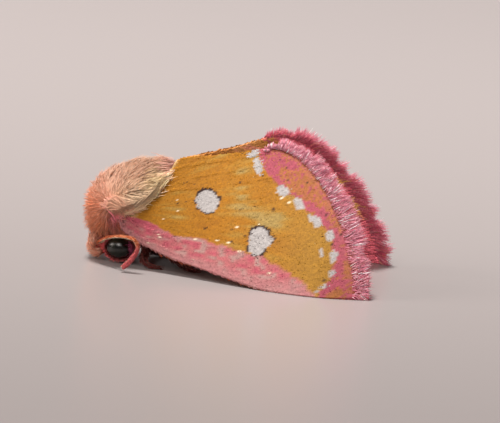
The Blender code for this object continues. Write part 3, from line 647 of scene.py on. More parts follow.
def scatterOnWing(shape, sideName, size, draw):
    # Staggered rows of scale roots, evenly spread over the wing's real area.
    lengths = []
    for middle in (0.2, 0.5, 0.8):
        line = wingPlace(shape, sideName, np.linspace(0, 1, 60), np.full(60, middle))
        lengths.append(lineLength(line))
    rows = int(max(lengths) / size["rowMm"])
    along, across = [], []
    for row in range(rows):
        share = (row + 0.5) / rows
        line = wingPlace(shape, sideName, np.full(60, share), np.linspace(0, 1, 60))
        count = int(lineLength(line) / size["gapMm"])
        spots = (np.arange(count) + 0.5 * (row % 2)) / count
        along.append(share + draw.uniform(-0.9, 0.9, count) / rows)
        across.append(spots + draw.uniform(-0.5, 0.5, count) / count)
    return np.clip(np.concatenate(along), 0, 1), np.clip(np.concatenate(across), 0.002, 0.998)


def coatWing(name, shape, sideName, size, sink, facing, tinter, seed, look="wingScaleChitin"):
    draw = np.random.default_rng(seed)
    along, across = scatterOnWing(shape, sideName, size, draw)
    here, normal, onward = wingFrame(shape, sideName, along, across)
    count = len(along)
    out = normal * facing
    here = here + normal * (-sink + veinRise(along, across))[:, None] - out * 0.004
    sway = draw.normal(0, size["sway"], count)[:, None]
    lift = out * draw.uniform(0.3, 1.4, count)[:, None] * size["lift"]
    way = unit(onward + np.cross(normal, onward) * sway + lift)
    length = size["length"] * draw.uniform(0.8, 1.15, count)
    tints = tinter(along, across, draw)
    bend = -out * (0.01 * draw.uniform(0, 1, count))[:, None]
    # Each scale is painted a little darker at its root and lighter at its tip: painted shading along the
    # scale.
    growCoat(name, scaleTuft, size, here, way, out, length, bend, (tints * 0.9, tints * 1.05),
             patchPlaces(along, across), look)


fringeForm = {
    # Where there are two layers, 1 is the outer one and -1 the one on the inner face.
    "length": {"left": 0.6, "right": 0.72}, "short": 0.35, "growth": 3.0, "fan": 0.7, "tipTurn": 0.9,
    "perMm": {1: 230, -1: 190}, "halfWidth": 0.015, "halfHeight": 0.009, "raggedness": 0.55,
    "firstRow": {1: 0.988, -1: 0.984}, "lastRow": 0.998, "shortShare": 0.45, "shortRow": 0.962,
    "shortLength": 0.45, "clumpSway": 0.8, "sway": 0.13, "liftSpread": 0.12, "layerLift": 0.06,
    "standOff": {1: 0.07, -1: -0.07}, "tipHex": "#f6e2e8", "tipShare": {1: 0.3, -1: 0.08},
    "outer": ["#e894a8", "#dc7f96", "#f0b6c4", "#ffffff", "#ea9aa0"],
    "outerShares": [0.36, 0.3, 0.18, 0.05, 0.11],
    "under": ["#ea7c92", "#dd6a84", "#f2a2b0", "#f0b98c"],
    "underShares": [0.4, 0.34, 0.2, 0.06],
}
fringeTuft = makeTuft([(0.0, 0.8, 1.0), (0.6, 1.0, 1.0), (1.0, 0.2, 0.3)])


def growFringe(name, shape, sideName, sink, form, palette, shares, layer, seed):
    # Long scales fanned out from the outer margin, in clumps that lean together.
    draw = np.random.default_rng(seed)
    rim = wingPlace(shape, sideName, np.ones(80), np.linspace(0, 1, 80))
    count = int(lineLength(rim) * form["perMm"][layer])
    across = np.clip((np.arange(count) + draw.uniform(0, 1, count)) / count, 0.001, 0.996)
    start = draw.uniform(form["firstRow"][layer], form["lastRow"], count)
    short = (draw.random(count) < form["shortShare"]) & (layer > 0)
    start = np.where(short, draw.uniform(form["shortRow"], form["firstRow"][1], count), start)
    here, normal, _ = wingFrame(shape, sideName, start, across)
    edge = wingPlace(shape, sideName, np.ones(count), across)
    onward = unit(edge - wingPlace(shape, sideName, np.full(count, 0.96), across))
    straight = unit(np.cross(wingPlace(shape, sideName, np.ones(count), across + 0.004) - edge, normal))
    straight = straight * np.sign(np.sum(straight * onward, 1, keepdims=True))
    turned = smoothStep(0.07 - across[:, None], 0, 0.07) * form["tipTurn"]
    outward = unit(onward * (1 - form["fan"]) + straight * form["fan"] - np.array([0, 0, 1]) * turned)
    sideways = np.cross(normal, outward)
    zeros = across * 0
    clump = patchNoise(across * 48, zeros, seed) - 0.5
    sway = clump * form["clumpSway"] + draw.normal(0, form["sway"], count)
    lift = draw.normal(0.02, form["liftSpread"], count) + layer * form["layerLift"]
    way = unit(outward + sideways * sway[:, None] + normal * lift[:, None])
    grow = np.minimum(1, form["short"] + form["growth"] * (1 - across)) * draw.uniform(0.7, 1.08, count)
    ragged = (patchNoise(across * 34, zeros + 7, seed + 1) * 0.6
              + patchNoise(across * 90, zeros + 3, seed + 2) * 0.4)
    grow = grow * (1.1 - form["raggedness"] * smoothStep(1 - ragged, 0.2, 0.8))
    length = np.where(short, form["shortLength"], 1.0) * form["length"][sideName] * grow + 0.1
    picked = toPalette(palette)[draw.choice(len(palette), count, p=shares)]
    picked = varyTints(picked, 0.2, draw)
    tips = mixColours(picked, toLinear(form["tipHex"]), form["tipShare"][layer] * draw.random(count))
    at = here + normal * (-sink + form["standOff"][layer])
    bend = normal * (draw.normal(0, 0.05, count))[:, None] - outward * 0.03
    growCoat(name, fringeTuft, form, at, way, normal, length, bend, (picked * 0.85, tips),
             patchPlaces(start, across), "fringeScaleChitin")


def makeWings():
    coat = wingCoat
    for number, sideName in enumerate(sides):
        shape = forewings[sideName]
        name = f"forewing{sideName.capitalize()}"
        membrane(f"{name}Membrane", shape, sideName, coat["membraneSink"], coat["membraneThickness"],
                 coat["membraneSteps"], wingTints, underTints, [f"forewing_{sideName}"])
        for index, size in enumerate(coat["outer"][sideName]):
            coatWing(f"{name}{'Cover' if index else 'Ground'}Scales", shape, sideName, size,
                     coat["membraneSink"], 1, wingTints, 40 + number + 2 * index)
        coatWing(f"{name}UnderScales", shape, sideName, coat["under"],
                 coat["membraneSink"] + coat["membraneThickness"], -1, underTints, 50 + number,
                 "wingUnderChitin")
        for layerName, layer, key in (("Fringe", 1, "outer"), ("UnderFringe", -1, "under")):
            growFringe(f"{name}{layerName}", shape, sideName, coat["membraneSink"], fringeForm,
                       fringeForm[key], fringeForm[f"{key}Shares"], layer, 60 + number)
        name = f"hindwing{sideName.capitalize()}"
        membrane(f"{name}Membrane", hindwing, sideName, hindwing["sink"], hindwing["thickness"],
                 coat["hindwingSteps"], hindTints, hindTints, [f"hindwing_{sideName}"])
        for face, facing, depth in (("Scales", 1, 0.0), ("UnderScales", -1, hindwing["thickness"])):
            coatWing(f"{name}{face}", hindwing, sideName, coat["under"], hindwing["sink"] + depth,
                     facing, hindTints, 70 + number + facing)
        form = dict(fringeForm, perMm=coat["hindwingPerMm"])
        growFringe(f"{name}Fringe", hindwing, sideName, hindwing["sink"], form, form["outer"],
                   form["outerShares"], 1, 80 + number)
    print("wings done")


# Body: one skin under the fur

bodyForm = {
    # Rings out to the fur's tips: place along X, centre height, half width, half height.
    "thorax": [(-7.36, 2.45, 0.75, 0.6), (-7.15, 2.5, 1.3, 0.98), (-6.65, 2.72, 1.8, 1.3),
               (-6.0, 2.84, 2.12, 1.52), (-5.2, 2.9, 2.25, 1.8), (-4.4, 2.92, 2.1, 1.88),
               (-3.6, 2.95, 1.7, 1.88), (-2.95, 2.6, 1.3, 1.5), (-2.6, 2.2, 1.0, 1.1)],
    "furDepth": 0.5,
    "head": {"centre": (-5.9, 0.0, 0.84), "radii": (0.76, 0.86, 0.6)},
    "abdomen": {"frontX": -2.9, "length": 6.2, "frontZ": 2.0, "drop": 0.35, "halfWidth": 0.85,
                "waist": 0.5, "tail": 0.22, "segments": 7, "flatness": 0.92, "notch": 0.07},
    "neck": [(-5.6, 0, 1.0), (-5.4, 0, 1.6), (-5.2, 0, 2.4)],
    "neckRadii": [0.45, 0.5, 0.6],
    "palp": [(-6.35, 0.35, 0.5), (-6.72, 0.42, 0.38), (-6.95, 0.43, 0.5), (-6.99, 0.43, 0.85),
             (-6.94, 0.43, 1.2)],
    "palpRadii": [0.18, 0.2, 0.19, 0.18, 0.1],
    "legs": {
        "foreleg": [(-4.5, 0.4, 1.2), (-4.45, 0.95, 0.55), (-4.45, 1.4, 0.36), (-4.15, 1.68, 0.16),
                    (-3.6, 1.75, 0.06)],
        "midleg": [(-3.7, 0.4, 1.2), (-3.3, 0.85, 0.6), (-2.9, 1.2, 0.4), (-2.4, 1.55, 0.16),
                   (-1.8, 1.75, 0.06)],
        "hindleg": [(-3.0, 0.35, 1.1), (-2.1, 0.55, 0.6), (-1.3, 0.75, 0.42), (-0.4, 1.0, 0.14),
                    (0.7, 1.25, 0.06)],
    },
    "legRadii": [0.24, 0.2, 0.13, 0.08, 0.05],
    "voxel": 0.07,
}


def furSurface(share, angle):
    # A place on the outside of the thorax's fur, rounded off where share is below 0 or above 1.
    ring = alongCurve(np.array(bodyForm["thorax"]), np.clip(share, 0, 1))
    front = np.clip(1 + share / fur["capShare"], 0, 1)
    back = np.clip(1 + (1 - share) / fur["backShare"], 0, 1)
    x = ring[..., 0] - fur["capRise"] * (1 - front ** 2) + fur["backRise"] * (1 - back ** 2)
    cap = front * back
    # Under the collar the fur hangs down to the face.
    hang = 1 + fur["hang"] * np.clip(-np.cos(angle), 0, 1) * smoothStep(fur["hangShare"] - share, 0, 0.25)
    return np.stack([x, ring[..., 2] * cap * np.sin(angle),
                     ring[..., 1] + ring[..., 3] * cap * hang * np.cos(angle)], -1)


def furNormal(share, angle):
    # The way out of the fur's surface, its length the surface's area there.
    here = furSurface(share, angle)
    back = furSurface(share + 0.004, angle) - here
    cross = np.cross(furSurface(share, angle + 0.01) - here, back)
    middle = np.stack([here[..., 0] + 0.4, here[..., 1] * 0, np.full(share.shape, 2.7)], -1)
    flip = np.sign(np.sum(cross * (here - middle), -1, keepdims=True))
    return here, cross * np.where(flip == 0, 1, flip)


def ringMatrix(centre, facing, wide, high, sideways=(0, 1, 0)):
    facing = Vector(facing).normalized()
    sideways = Vector(sideways)
    sideways = (sideways - facing * sideways.dot(facing)).normalized()
    turn = Matrix((sideways, facing.cross(sideways), facing)).transposed().to_4x4()
    return Matrix.Translation(centre) @ turn @ Matrix.Diagonal((wide, high, 1, 1))


def loftInto(bm, matrices, sideCount):
    # Adds a closed solid through rings by extruding a circle from place to place.
    made = bmesh.ops.create_circle(bm, segments=sideCount, radius=1.0, cap_ends=True, matrix=matrices[0])
    start = made["verts"][0].link_faces[0]
    end = start
    for before, after in zip(matrices, matrices[1:]):
        made = bmesh.ops.extrude_face_region(bm, geom=[end])["geom"]
        verts = [item for item in made if isinstance(item, bmesh.types.BMVert)]
        bmesh.ops.transform(bm, matrix=after @ before.inverted(), verts=verts)
        if end is not start:
            bmesh.ops.delete(bm, geom=[end], context="FACES_ONLY")
        end = next(item for item in made if isinstance(item, bmesh.types.BMFace))


def spreadRadii(radii, shares):
    return np.interp(shares, np.linspace(0, 1, len(radii)), radii)


def tubeInto(bm, path, radius, sideCount, reach=0.02):
    # A round tube on the curve through the points, with one radius for each of its rings.
    shares = np.linspace(0, 1, len(radius))
    facings = alongCurve(path, shares + reach) - alongCurve(path, shares - reach)
    sideways = Vector((0, 1, 0))
    matrices = []
    for place, facing, size in zip(alongCurve(path, shares), facings, radius):
        facing = Vector(facing).normalized()
        sideways = (sideways - facing * sideways.dot(facing)).normalized()
        matrices.append(ringMatrix(place, facing, size, size, sideways))
    loftInto(bm, matrices, sideCount)


def limbInto(bm, path, radii, side, sideCount=12, steps=24):
    radius = spreadRadii(radii, np.linspace(0, 1, steps + 1))
    tubeInto(bm, np.array(path) * (1, side, 1), radius, sideCount)


def abdomenPlaces(share):
    # Places on the abdomen's middle line.
    form = bodyForm["abdomen"]
    return np.stack([form["frontX"] + form["length"] * share, share * 0,
                     form["frontZ"] - form["drop"] * share], -1)


def abdomenRadius(share):
    form = bodyForm["abdomen"]
    swell = np.sin(np.pi * np.minimum(share * 1.25 + 0.12, 1)) ** 0.7
    radius = form["waist"] * (1 - share) + form["tail"] * share
    radius = radius + (form["halfWidth"] - form["waist"]) * swell
    step = (share * form["segments"]) % 1
    return radius * (1 - form["notch"] * step)


def makeSkin():
    # Head, thorax, abdomen, palps and legs as one closed skin.
    bm = bmesh.new()
    rings = bodyForm["thorax"]
    depth = bodyForm["furDepth"]
    matrices = []
    for index, (x, z, wide, high) in enumerate(rings):
        inward = depth * max(0, 1 - index / 1.6)
        matrices.append(ringMatrix((x + inward, 0, z), (1, 0, 0), max(wide - depth, 0.15),
                                   max(high - depth, 0.15)))
    loftInto(bm, matrices, 32)
    head = bodyForm["head"]
    size = Matrix.Translation(head["centre"]) @ Matrix.Diagonal((*head["radii"], 1))
    bmesh.ops.create_uvsphere(bm, u_segments=32, v_segments=20, radius=1.0, matrix=size)
    limbInto(bm, bodyForm["neck"], bodyForm["neckRadii"], 1, 16, 6)
    form = bodyForm["abdomen"]
    shares = np.linspace(0, 1, form["segments"] * 6 + 1)
    matrices = [ringMatrix(place, (1, 0, 0), radius, radius * form["flatness"])
                for place, radius in zip(abdomenPlaces(shares), abdomenRadius(shares))]
    loftInto(bm, matrices, 28)
    for side in sides.values():
        limbInto(bm, bodyForm["palp"], bodyForm["palpRadii"], side, 12, 10)
        for path in bodyForm["legs"].values():
            limbInto(bm, path, bodyForm["legRadii"], side)
    thing = makeSolid("bodySkin", bm)
    modifier = thing.modifiers.new("skin", "REMESH")
    modifier.mode = "VOXEL"
    modifier.voxel_size = bodyForm["voxel"] * mm
    modifier.use_smooth_shade = True
    smooth = thing.modifiers.new("soften", "SMOOTH")
    smooth.iterations = 3
    evaluated = thing.evaluated_get(bpy.context.evaluated_depsgraph_get())
    mesh = bpy.data.meshes.new_from_object(evaluated)
    thing.modifiers.clear()
    thing.data = mesh
    mesh.shade_smooth()
    places = np.zeros(len(mesh.vertices) * 3, np.float32)
    mesh.vertices.foreach_get("co", places)
    places = places.reshape(-1, 3) / mm
    setTints(mesh, skinTints(places))
    nodes = ["head", "thorax", "abdomen"]
    for sideName in sides:
        nodes += [f"{part}_{sideName}" for part in ("palp", "foreleg", "midleg", "hindleg")]
    finishPiece(thing, nodes, materials["bodyCuticle"])
    print("skin done:", len(mesh.polygons), "faces")


# Fur

eyeForm = {"centre": (-5.66, 0.95, 0.72), "radii": (0.62, 0.5, 0.49)}
furTints = [
    # Side view place and the fur's colour there, from the collar back to the wings' roots. Partly the
    # fur's own colour; the low front and the part near the wings' roots are also painted lighter, painted
    # light that offsets the shade there.
    ((-7.3, 2.6), "#f8a276"), ((-6.9, 1.4), "#f8a274"), ((-6.9, 3.6), "#e4a080"),
    ((-6.1, 2.7), "#e8b292"), ((-6.0, 4.2), "#e8ba9e"), ((-5.2, 1.6), "#e88466"),
    ((-5.4, 3.6), "#ecc4a2"), ((-4.7, 3.6), "#eaccaa"), ((-4.6, 4.7), "#e2b496"),
    ((-3.9, 4.4), "#e8cc9c"), ((-3.3, 4.9), "#e8b0a0"), ((-5.4, 2.6), "#e6b090"),
    ((-5.6, 2.2), "#e86c88"),
]
# The legs' colour is their own dark pink, darkened further: painted shade under the wings.
skinPaint = toPaints({"thorax": "#d89a7a", "head": "#a04a3c", "abdomen": "#b98a5e", "leg": "#6b2a22"})


def furColour(places):
    spots = np.array([place for place, _ in furTints])
    colours = toPalette([value for _, value in furTints])
    far = np.sum((places[:, None, (0, 2)] - spots[None]) ** 2, -1)
    weight = 1 / (far + 0.05) ** 2
    return weight @ colours / weight.sum(1, keepdims=True)


def skinTints(places):
    x, z = places[:, 0], places[:, 2]
    tints = np.tile(skinPaint["thorax"], (len(places), 1))
    tints[x > -2.7] = skinPaint["abdomen"]
    tints[z < 1.45] = skinPaint["head"]
    # Skin below 1 mm behind the head takes the dark leg colour: painted shade under the body and wings.
    tints[(z < 1.0) & (x > -4.8)] = skinPaint["leg"]
    return tints


furTuft = makeTuft([(0.0, 0.75, 0.75), (0.55, 1.0, 1.0), (1.0, 0.12, 0.12)])
fur = {
    "count": 14200, "length": 0.92, "halfWidth": 0.022, "halfHeight": 0.011,
    "capShare": 0.13, "capRise": 0.06, "backShare": 0.1, "backRise": 0.35, "hang": 0.3, "hangShare": 0.5,
    "loose": 0.16, "looseLie": 0.45, "shortest": 0.6, "longest": 1.2, "sag": 0.1,
    "lieSpread": 7, "frontRise": 0.3, "clump": 0.35, "sway": 0.13, "tipDepth": 0.15,
    "stray": 0.26, "strayShare": 0.25, "tries": 6, "lowest": 0.95, "ontoWing": (-2.6, -1.0),
    "paleHex": "#f3dfcc",
    # The hairs lie away from a whorl on each side of the collar.
    "whorl": (-6.05, 1.95, 2.8), "lieAtWhorl": 30, "lieBeyond": 56, "lieRun": 2.2,
}


def furLie(places, normal, side, draw):
    # Which way each hair's tip points, from standing at the whorl to lying down beyond it.
    away = places - np.array(fur["whorl"]) * (1, side, 1)
    distance = np.linalg.norm(away, axis=1)
    away = away * (1, 0.35, 1) + np.array([0.6, 0, 0]) * smoothStep(places[:, :1], -5.6, -4.0)
    flat = layFlat(away, normal)
    lie = np.radians(fur["lieAtWhorl"] + (fur["lieBeyond"] - fur["lieAtWhorl"])
                     * smoothStep(distance, 0, fur["lieRun"]))
    front = smoothStep(-places[:, 0], 6.6, 7.2)
    lie = lie * (1 - fur["frontRise"] * front)
    lie = np.where(draw.random(len(places)) < fur["loose"], lie * fur["looseLie"], lie)
    lie = lie + np.radians(draw.normal(0, fur["lieSpread"], len(places)))
    across = np.cross(normal, flat)
    clump = patchNoise(places[:, 0] / 0.25, (places[:, 2] + places[:, 1]) / 0.25, 91) - 0.5
    sway = clump * fur["clump"] + draw.normal(0, fur["sway"], len(places))
    flat = unit(flat + across * sway[:, None])
    return unit(normal * np.cos(lie)[:, None] + flat * np.sin(lie)[:, None])


def behindRoot(places, side):
    # How far behind the wing's root line each place is, and how far inside the wing's outer face.
    shape = forewings["left" if side < 0 else "right"]
    root = np.array(shape["root"])
    ahead = places[:, 0] - np.interp(places[:, 2], root[:, 1], root[:, 0])
    depth = standOut(places[:, 0], places[:, 2], shape["ridgeHeight"]) - places[:, 1] * side
    return ahead, depth


def growThoraxFur():
    for number, (sideName, side) in enumerate(sides.items()):
        draw = np.random.default_rng(100 + number)
        tries = fur["count"] * fur["tries"]
        share = draw.uniform(-fur["capShare"], 1 + 0.6 * fur["backShare"], tries)
        turn = draw.uniform(-0.04, 1.04, tries)
        tips, normal = furNormal(share, side * np.pi * turn)
        area = np.linalg.norm(normal, axis=1)
        normal = unit(normal)
        behind, depth = behindRoot(tips, side)
        keep = draw.random(tries) < area / np.quantile(area, 0.98)
        overWing = 1 - smoothStep(behind + 0.2 * smoothStep(3.3 - tips[:, 2], 0, 0.6), -0.8, 0.0)
        between = ((depth > 0.15) & (behind < 0.6)) | (depth > 0.5)
        keep &= between | (draw.random(tries) < overWing)
        keep &= tips[:, 2] > fur["lowest"]
        picked = np.flatnonzero(keep)[:fur["count"]]
        share, turn, tips, normal = share[picked], turn[picked], tips[picked], normal[picked]
        behind, depth = behind[picked], depth[picked]
        count = len(picked)
        way = furLie(tips, normal, side, draw)
        length = fur["length"] * draw.uniform(fur["shortest"], fur["longest"], count)
        stray = fur["stray"] * draw.random(count) * (draw.random(count) < fur["strayShare"])
        tips = tips + normal * (0.03 - fur["tipDepth"] * draw.random(count) + stray)[:, None]
        # Near the wing's root the tips come down onto the wing.
        face = tips[:, 1] * side + depth + 0.02 + 0.1 * draw.random(count)
        lower = np.minimum(tips[:, 1] * side, face) - tips[:, 1] * side
        tips[:, 1] += side * lower * smoothStep(behind, *fur["ontoWing"])
        sag = -normal * (fur["sag"] * length)[:, None]
        root = tips - way * length[:, None] - sag
        tints = varyTints(furColour(tips), 0.3, draw)
        pale = mixColours(tints, toLinear(fur["paleHex"]), 0.3 * draw.random(count))
        patches = np.stack([0.12 + 0.8 * share, 0.04 + 0.45 * (number + turn)], -1)
        growCoat(f"thoraxFur{sideName.capitalize()}", furTuft, fur, root, way, normal, length, sag,
                 (tints * 0.85, pale), patches, "furScaleChitin")


tegula = {
    # Spans are the wing's length from its root line at the front and at the back.
    "count": 5600, "ahead": -0.8, "behind": 0.8, "behindFront": 0.3, "thinning": 1.25, "ragged": 0.5,
    "frontSpan": 12.2, "backSpan": 4.3, "length": 0.75, "halfWidth": 0.02, "halfHeight": 0.012,
    "backward": 0.7, "sway": 0.26, "sag": 0.1, "endHex": "#dcb08c", "endShare": 0.6,
    "paleHex": "#f0dfb8", "paleShare": 0.5,
}


def growTegulae():
    # Long scales that cover each wing's root and run out over the membrane.
    for number, (sideName, side) in enumerate(sides.items()):
        draw = np.random.default_rng(120 + number)
        count = tegula["count"]
        shape = forewings[sideName]
        across = draw.uniform(-0.04, 0.9, count)
        span = tegula["frontSpan"] * (1 - across) + tegula["backSpan"] * across
        spread = draw.random(count) ** tegula["thinning"]
        front = tegula["behindFront"]
        reach = front + (tegula["behind"] - front) * smoothStep(across, 0.15, 0.5)
        reach = reach * (1 - 0.5 * smoothStep(across, 0.7, 0.9))
        ahead = tegula["ahead"] * (0.2 + 0.8 * smoothStep(across, 0.0, 0.35))
        offset = ahead + (reach - ahead) * spread
        offset = offset + tegula["ragged"] * spread * (patchNoise(across * 26, across * 0, 92) - 0.5)
        offset = offset + 0.3 * spread * draw.normal(0, 1, count)
        here, normal, onward = wingFrame(shape, sideName, offset / span, across)
        level = draw.random(count)
        tips = here + normal * (0.015 + 0.2 * level * (1 - spread))[:, None]
        away = tips - np.array(fur["whorl"]) * (1, side, 1)
        away = unit(away) + onward * tegula["backward"]
        flat = layFlat(away, normal)
        sway = draw.normal(0, tegula["sway"], count)[:, None]
        way = unit(flat + np.cross(normal, flat) * sway + normal * (0.02 + 0.2 * level)[:, None])
        length = tegula["length"] * draw.uniform(0.45, 1.15, count)
        bend = -normal * (tegula["sag"] * length)[:, None]
        root = tips - way * length[:, None] - bend
        tints = mixColours(furColour(tips), toLinear(tegula["endHex"]),
                           tegula["endShare"] * smoothStep(spread, 0.6, 1.0)
                           * smoothStep(across, 0.2, 0.4))
        # Hairs further out over the wing are painted up to 1.7 times lighter: painted light that offsets
        # the shade the fur casts over them.
        tints = varyTints(tints * (1 + 0.7 * smoothStep(spread, 0.35, 0.75)[:, None]), 0.3, draw)
        pale = mixColours(tints, toLinear(tegula["paleHex"]), tegula["paleShare"] * draw.random(count))
        patches = patchPlaces(0.5 + offset * 0.4, np.clip(across, 0, 1))
        growCoat(f"tegula{sideName.capitalize()}Fur", furTuft, tegula, root, way, normal, length,
                 bend, (tints * 0.85, pale), patches, "furScaleChitin")


limbFur = {
    "palp": {"count": 1000, "length": 0.34, "lift": 0.3, "span": (0.1, 1.0),
             "hexes": ["#f4b496", "#eaa080", "#f8c6ac"]},
    # The legs' dark red-brown is partly their own colour and partly painted shade under the wings.
    "leg": {"count": 330, "length": 0.3, "lift": 0.35, "span": (0.0, 0.97),
            "hexes": ["#7a2c28", "#5c1f1c", "#944c4a"]},
    "halfWidth": 0.024, "halfHeight": 0.01,
}


def placeLimbFur(path, radii, form, seed, side):
    # Short fur round a limb, lying towards its tip.
    draw = np.random.default_rng(seed)
    count = form["count"]
    path = np.array(path) * (1, side, 1)
    share = draw.uniform(*form["span"], count)
    here = alongCurve(path, share)
    onward = unit(alongCurve(path, share + 0.02) - alongCurve(path, share - 0.02))
    across = unit(np.cross(onward, np.array([0.3, 0.2, 1.0])))
    up = np.cross(onward, across)
    angle = draw.uniform(0, 2 * np.pi, count)
    out = across * np.cos(angle)[:, None] + up * np.sin(angle)[:, None]
    at = here + out * (spreadRadii(radii, share) * 0.9)[:, None]
    rise = out * form["lift"] * draw.uniform(0.5, 1.4, count)[:, None]
    way = unit(onward + rise + draw.normal(0, 0.08, (count, 3)))
    palette = toPalette(form["hexes"])
    tints = varyTints(palette[draw.integers(0, len(palette), count)], 0.3, draw)
    patches = np.stack([0.02 + 0.9 * share, 0.02 + 0.9 * angle / (2 * np.pi)], -1)
    length = form["length"] * draw.uniform(0.7, 1.2, count)
    bend = -out * (0.2 * form["length"] * draw.uniform(0.3, 1, count))[:, None]
    return at, way, out, length, bend, tints, patches


def growLimbs():
    jobs = []
    for side in sides.values():
        jobs.append((bodyForm["palp"], bodyForm["palpRadii"], limbFur["palp"], side))
        for path in bodyForm["legs"].values():
            jobs.append((path, bodyForm["legRadii"], limbFur["leg"], side))
    parts = []
    for index, (path, radii, form, side) in enumerate(jobs):
        *rest, patches = placeLimbFur(path, radii, form, 200 + index, side)
        # Each limb has its own strip of the unwrap.
        patches = patches * np.array([1, 1 / len(jobs)]) + np.array([0, index / len(jobs)])
        parts.append((*rest, patches))
    at, way, out, length, bend, tints, patches = (np.concatenate(column) for column in zip(*parts))
    growCoat("limbFur", furTuft, limbFur, at, way, out, length, bend, (tints * 0.8, tints * 1.15),
             patches, "furScaleChitin")


headFur = {"count": 4600, "length": 0.34, "halfWidth": 0.024, "halfHeight": 0.011, "lowest": 0.28,
           "eyeGap": 1.08, "salmon": "#dc8a68", "red": "#dd6066"}


def growHeadFur():
    head = bodyForm["head"]
    draw = np.random.default_rng(301)
    way = unit(draw.normal(0, 1, (headFur["count"], 3)))
    radii = np.array(head["radii"])
    at = np.array(head["centre"]) + way * radii
    normal = unit(way / radii)
    # How far each hair is from the nearer eye's centre, in the eye's own radii.
    eyeGap = np.linalg.norm((np.abs(at) - np.array([-1, 1, 1]) * eyeForm["centre"])
                            / eyeForm["radii"], axis=1)
    keep = (eyeGap > headFur["eyeGap"]) & (at[:, 2] > headFur["lowest"])
    at, normal, eyeGap = at[keep], normal[keep], eyeGap[keep]
    count = len(at)
    face = smoothStep(-at[:, 0], 6.0, 6.5)[:, None]
    lay = unit(np.array([-0.5, 0, 0.3]) * face + np.array([0.6, 0, 0.5]) * (1 - face))
    way = unit(normal * 0.8 + lay * 0.7 + draw.normal(0, 0.14, (count, 3)))
    nearEye = smoothStep(2.0 - eyeGap, 0.0, 0.6)
    tints = mixColours(toLinear(headFur["salmon"]), toLinear(headFur["red"]), nearEye)
    tints = varyTints(tints, 0.3, draw)
    length = headFur["length"] * draw.uniform(0.6, 1.2, count) * (1 - 0.4 * nearEye)
    angle = np.arctan2(at[:, 1], at[:, 2] - 0.82) / (2 * np.pi) + 0.5
    patches = np.stack([0.02 + 0.9 * (at[:, 0] + 6.7) / 1.6, 0.02 + 0.9 * angle], -1)
    growCoat("headFur", furTuft, headFur, at - normal * 0.03, way, normal, length, lay * 0.06,
             (tints * 0.8, tints * 1.1), patches, "furScaleChitin")


eyeRim = {"count": 900, "length": 0.26, "red": "#e06a6c", "tuft": "#e0709c", "tuftLength": 0.42,
          "tuftCount": 420, "halfWidth": 0.022, "halfHeight": 0.01, "lowest": 0.1}


def growEyeRims():
    # Red-pink scales set round each eye, and a longer magenta tuft behind it.
    parts = []
    for number, side in enumerate(sides.values()):
        draw = np.random.default_rng(330 + number)
        centre = np.array(eyeForm["centre"]) * (1, side, 1)
        count = eyeRim["count"] + eyeRim["tuftCount"]
        isTuft = np.arange(count) >= eyeRim["count"]
        around = np.where(isTuft, draw.normal(0.1, 0.28, count), draw.uniform(-np.pi, np.pi, count))
        ring = np.stack([np.cos(around), np.zeros(count), np.sin(around)], -1)
        depth = draw.uniform(-0.28, 0.02, count)
        reach = np.sqrt(1 - (depth / eyeForm["radii"][1]) ** 2) * draw.uniform(1.0, 1.12, count)
        at = centre + ring * eyeForm["radii"] * reach[:, None] + np.array([0, side, 0]) * depth[:, None]
        outward = np.array([0, side, 0]) + ring * draw.uniform(0.2, 0.9, count)[:, None]
        outward = outward + np.where(isTuft, -0.9, 0)[:, None] * ring
        way = unit(outward + draw.normal(0, 0.12, (count, 3)))
        length = np.where(isTuft, eyeRim["tuftLength"], eyeRim["length"]) * draw.uniform(0.6, 1.15, count)
        tints = np.where(isTuft[:, None], toLinear(eyeRim["tuft"]), toLinear(eyeRim["red"]))
        tints = varyTints(tints, 0.4, draw)
        patches = np.stack([0.5 + 0.45 * around / np.pi, 0.25 + 0.5 * number + 0.5 * depth], -1)
        keep = at[:, 2] > eyeRim["lowest"]
        parts.append([values[keep] for values in (at, way, ring + 0.001, length, tints, patches)])
    at, way, up, length, tints, patches = (np.concatenate(column) for column in zip(*parts))
    growCoat("eyeRimFur", furTuft, eyeRim, at, way, up, length, way * 0, (tints * 0.8, tints * 1.1),
             patches, "furScaleChitin")


abdomenFur = {"count": 3000, "length": 0.42, "halfWidth": 0.055, "halfHeight": 0.01, "tailShare": 0.12,
              "tailFrom": 0.94, "cream": "#d9b98f", "blush": "#cf9a86"}


def growAbdomenFur():
    # Short scales lying back, drawn together into a tuft at the tail.
    form = abdomenFur
    draw = np.random.default_rng(401)
    count = form["count"]
    share = draw.uniform(0.02, 1.0, count)
    share = np.where(draw.random(count) < form["tailShare"], draw.uniform(form["tailFrom"], 1.0, count),
                     share)
    angle = draw.uniform(-np.pi, np.pi, count)
    radius = abdomenRadius(share)
    out = np.stack([np.zeros(count), np.sin(angle), np.cos(angle)], -1)
    squash = np.array([0, 1, bodyForm["abdomen"]["flatness"]])
    at = abdomenPlaces(share) + out * squash * (radius * 0.97)[:, None]
    tail = smoothStep(share, 0.9, 1.0)
    lift = (0.16 + 0.2 * draw.random(count)) * (1 - 2.4 * tail)
    way = unit(np.array([1.0, 0, 0]) + out * lift[:, None])
    length = form["length"] * draw.uniform(0.7, 1.2, count) * (1 + 0.6 * tail)
    cloud = patchNoise(share * 9, angle * 2, 402)
    tints = varyTints(mixColours(toLinear(form["cream"]), toLinear(form["blush"]), cloud), 0.25, draw)
    patches = np.stack([0.02 + 0.94 * share, 0.5 + 0.47 * angle / np.pi], -1)
    growCoat("abdomenFur", furTuft, form, at, way, out, length, -out * 0.03,
             (tints * 0.85, tints * 1.1), patches, "furScaleChitin")


# Eyes and feelers

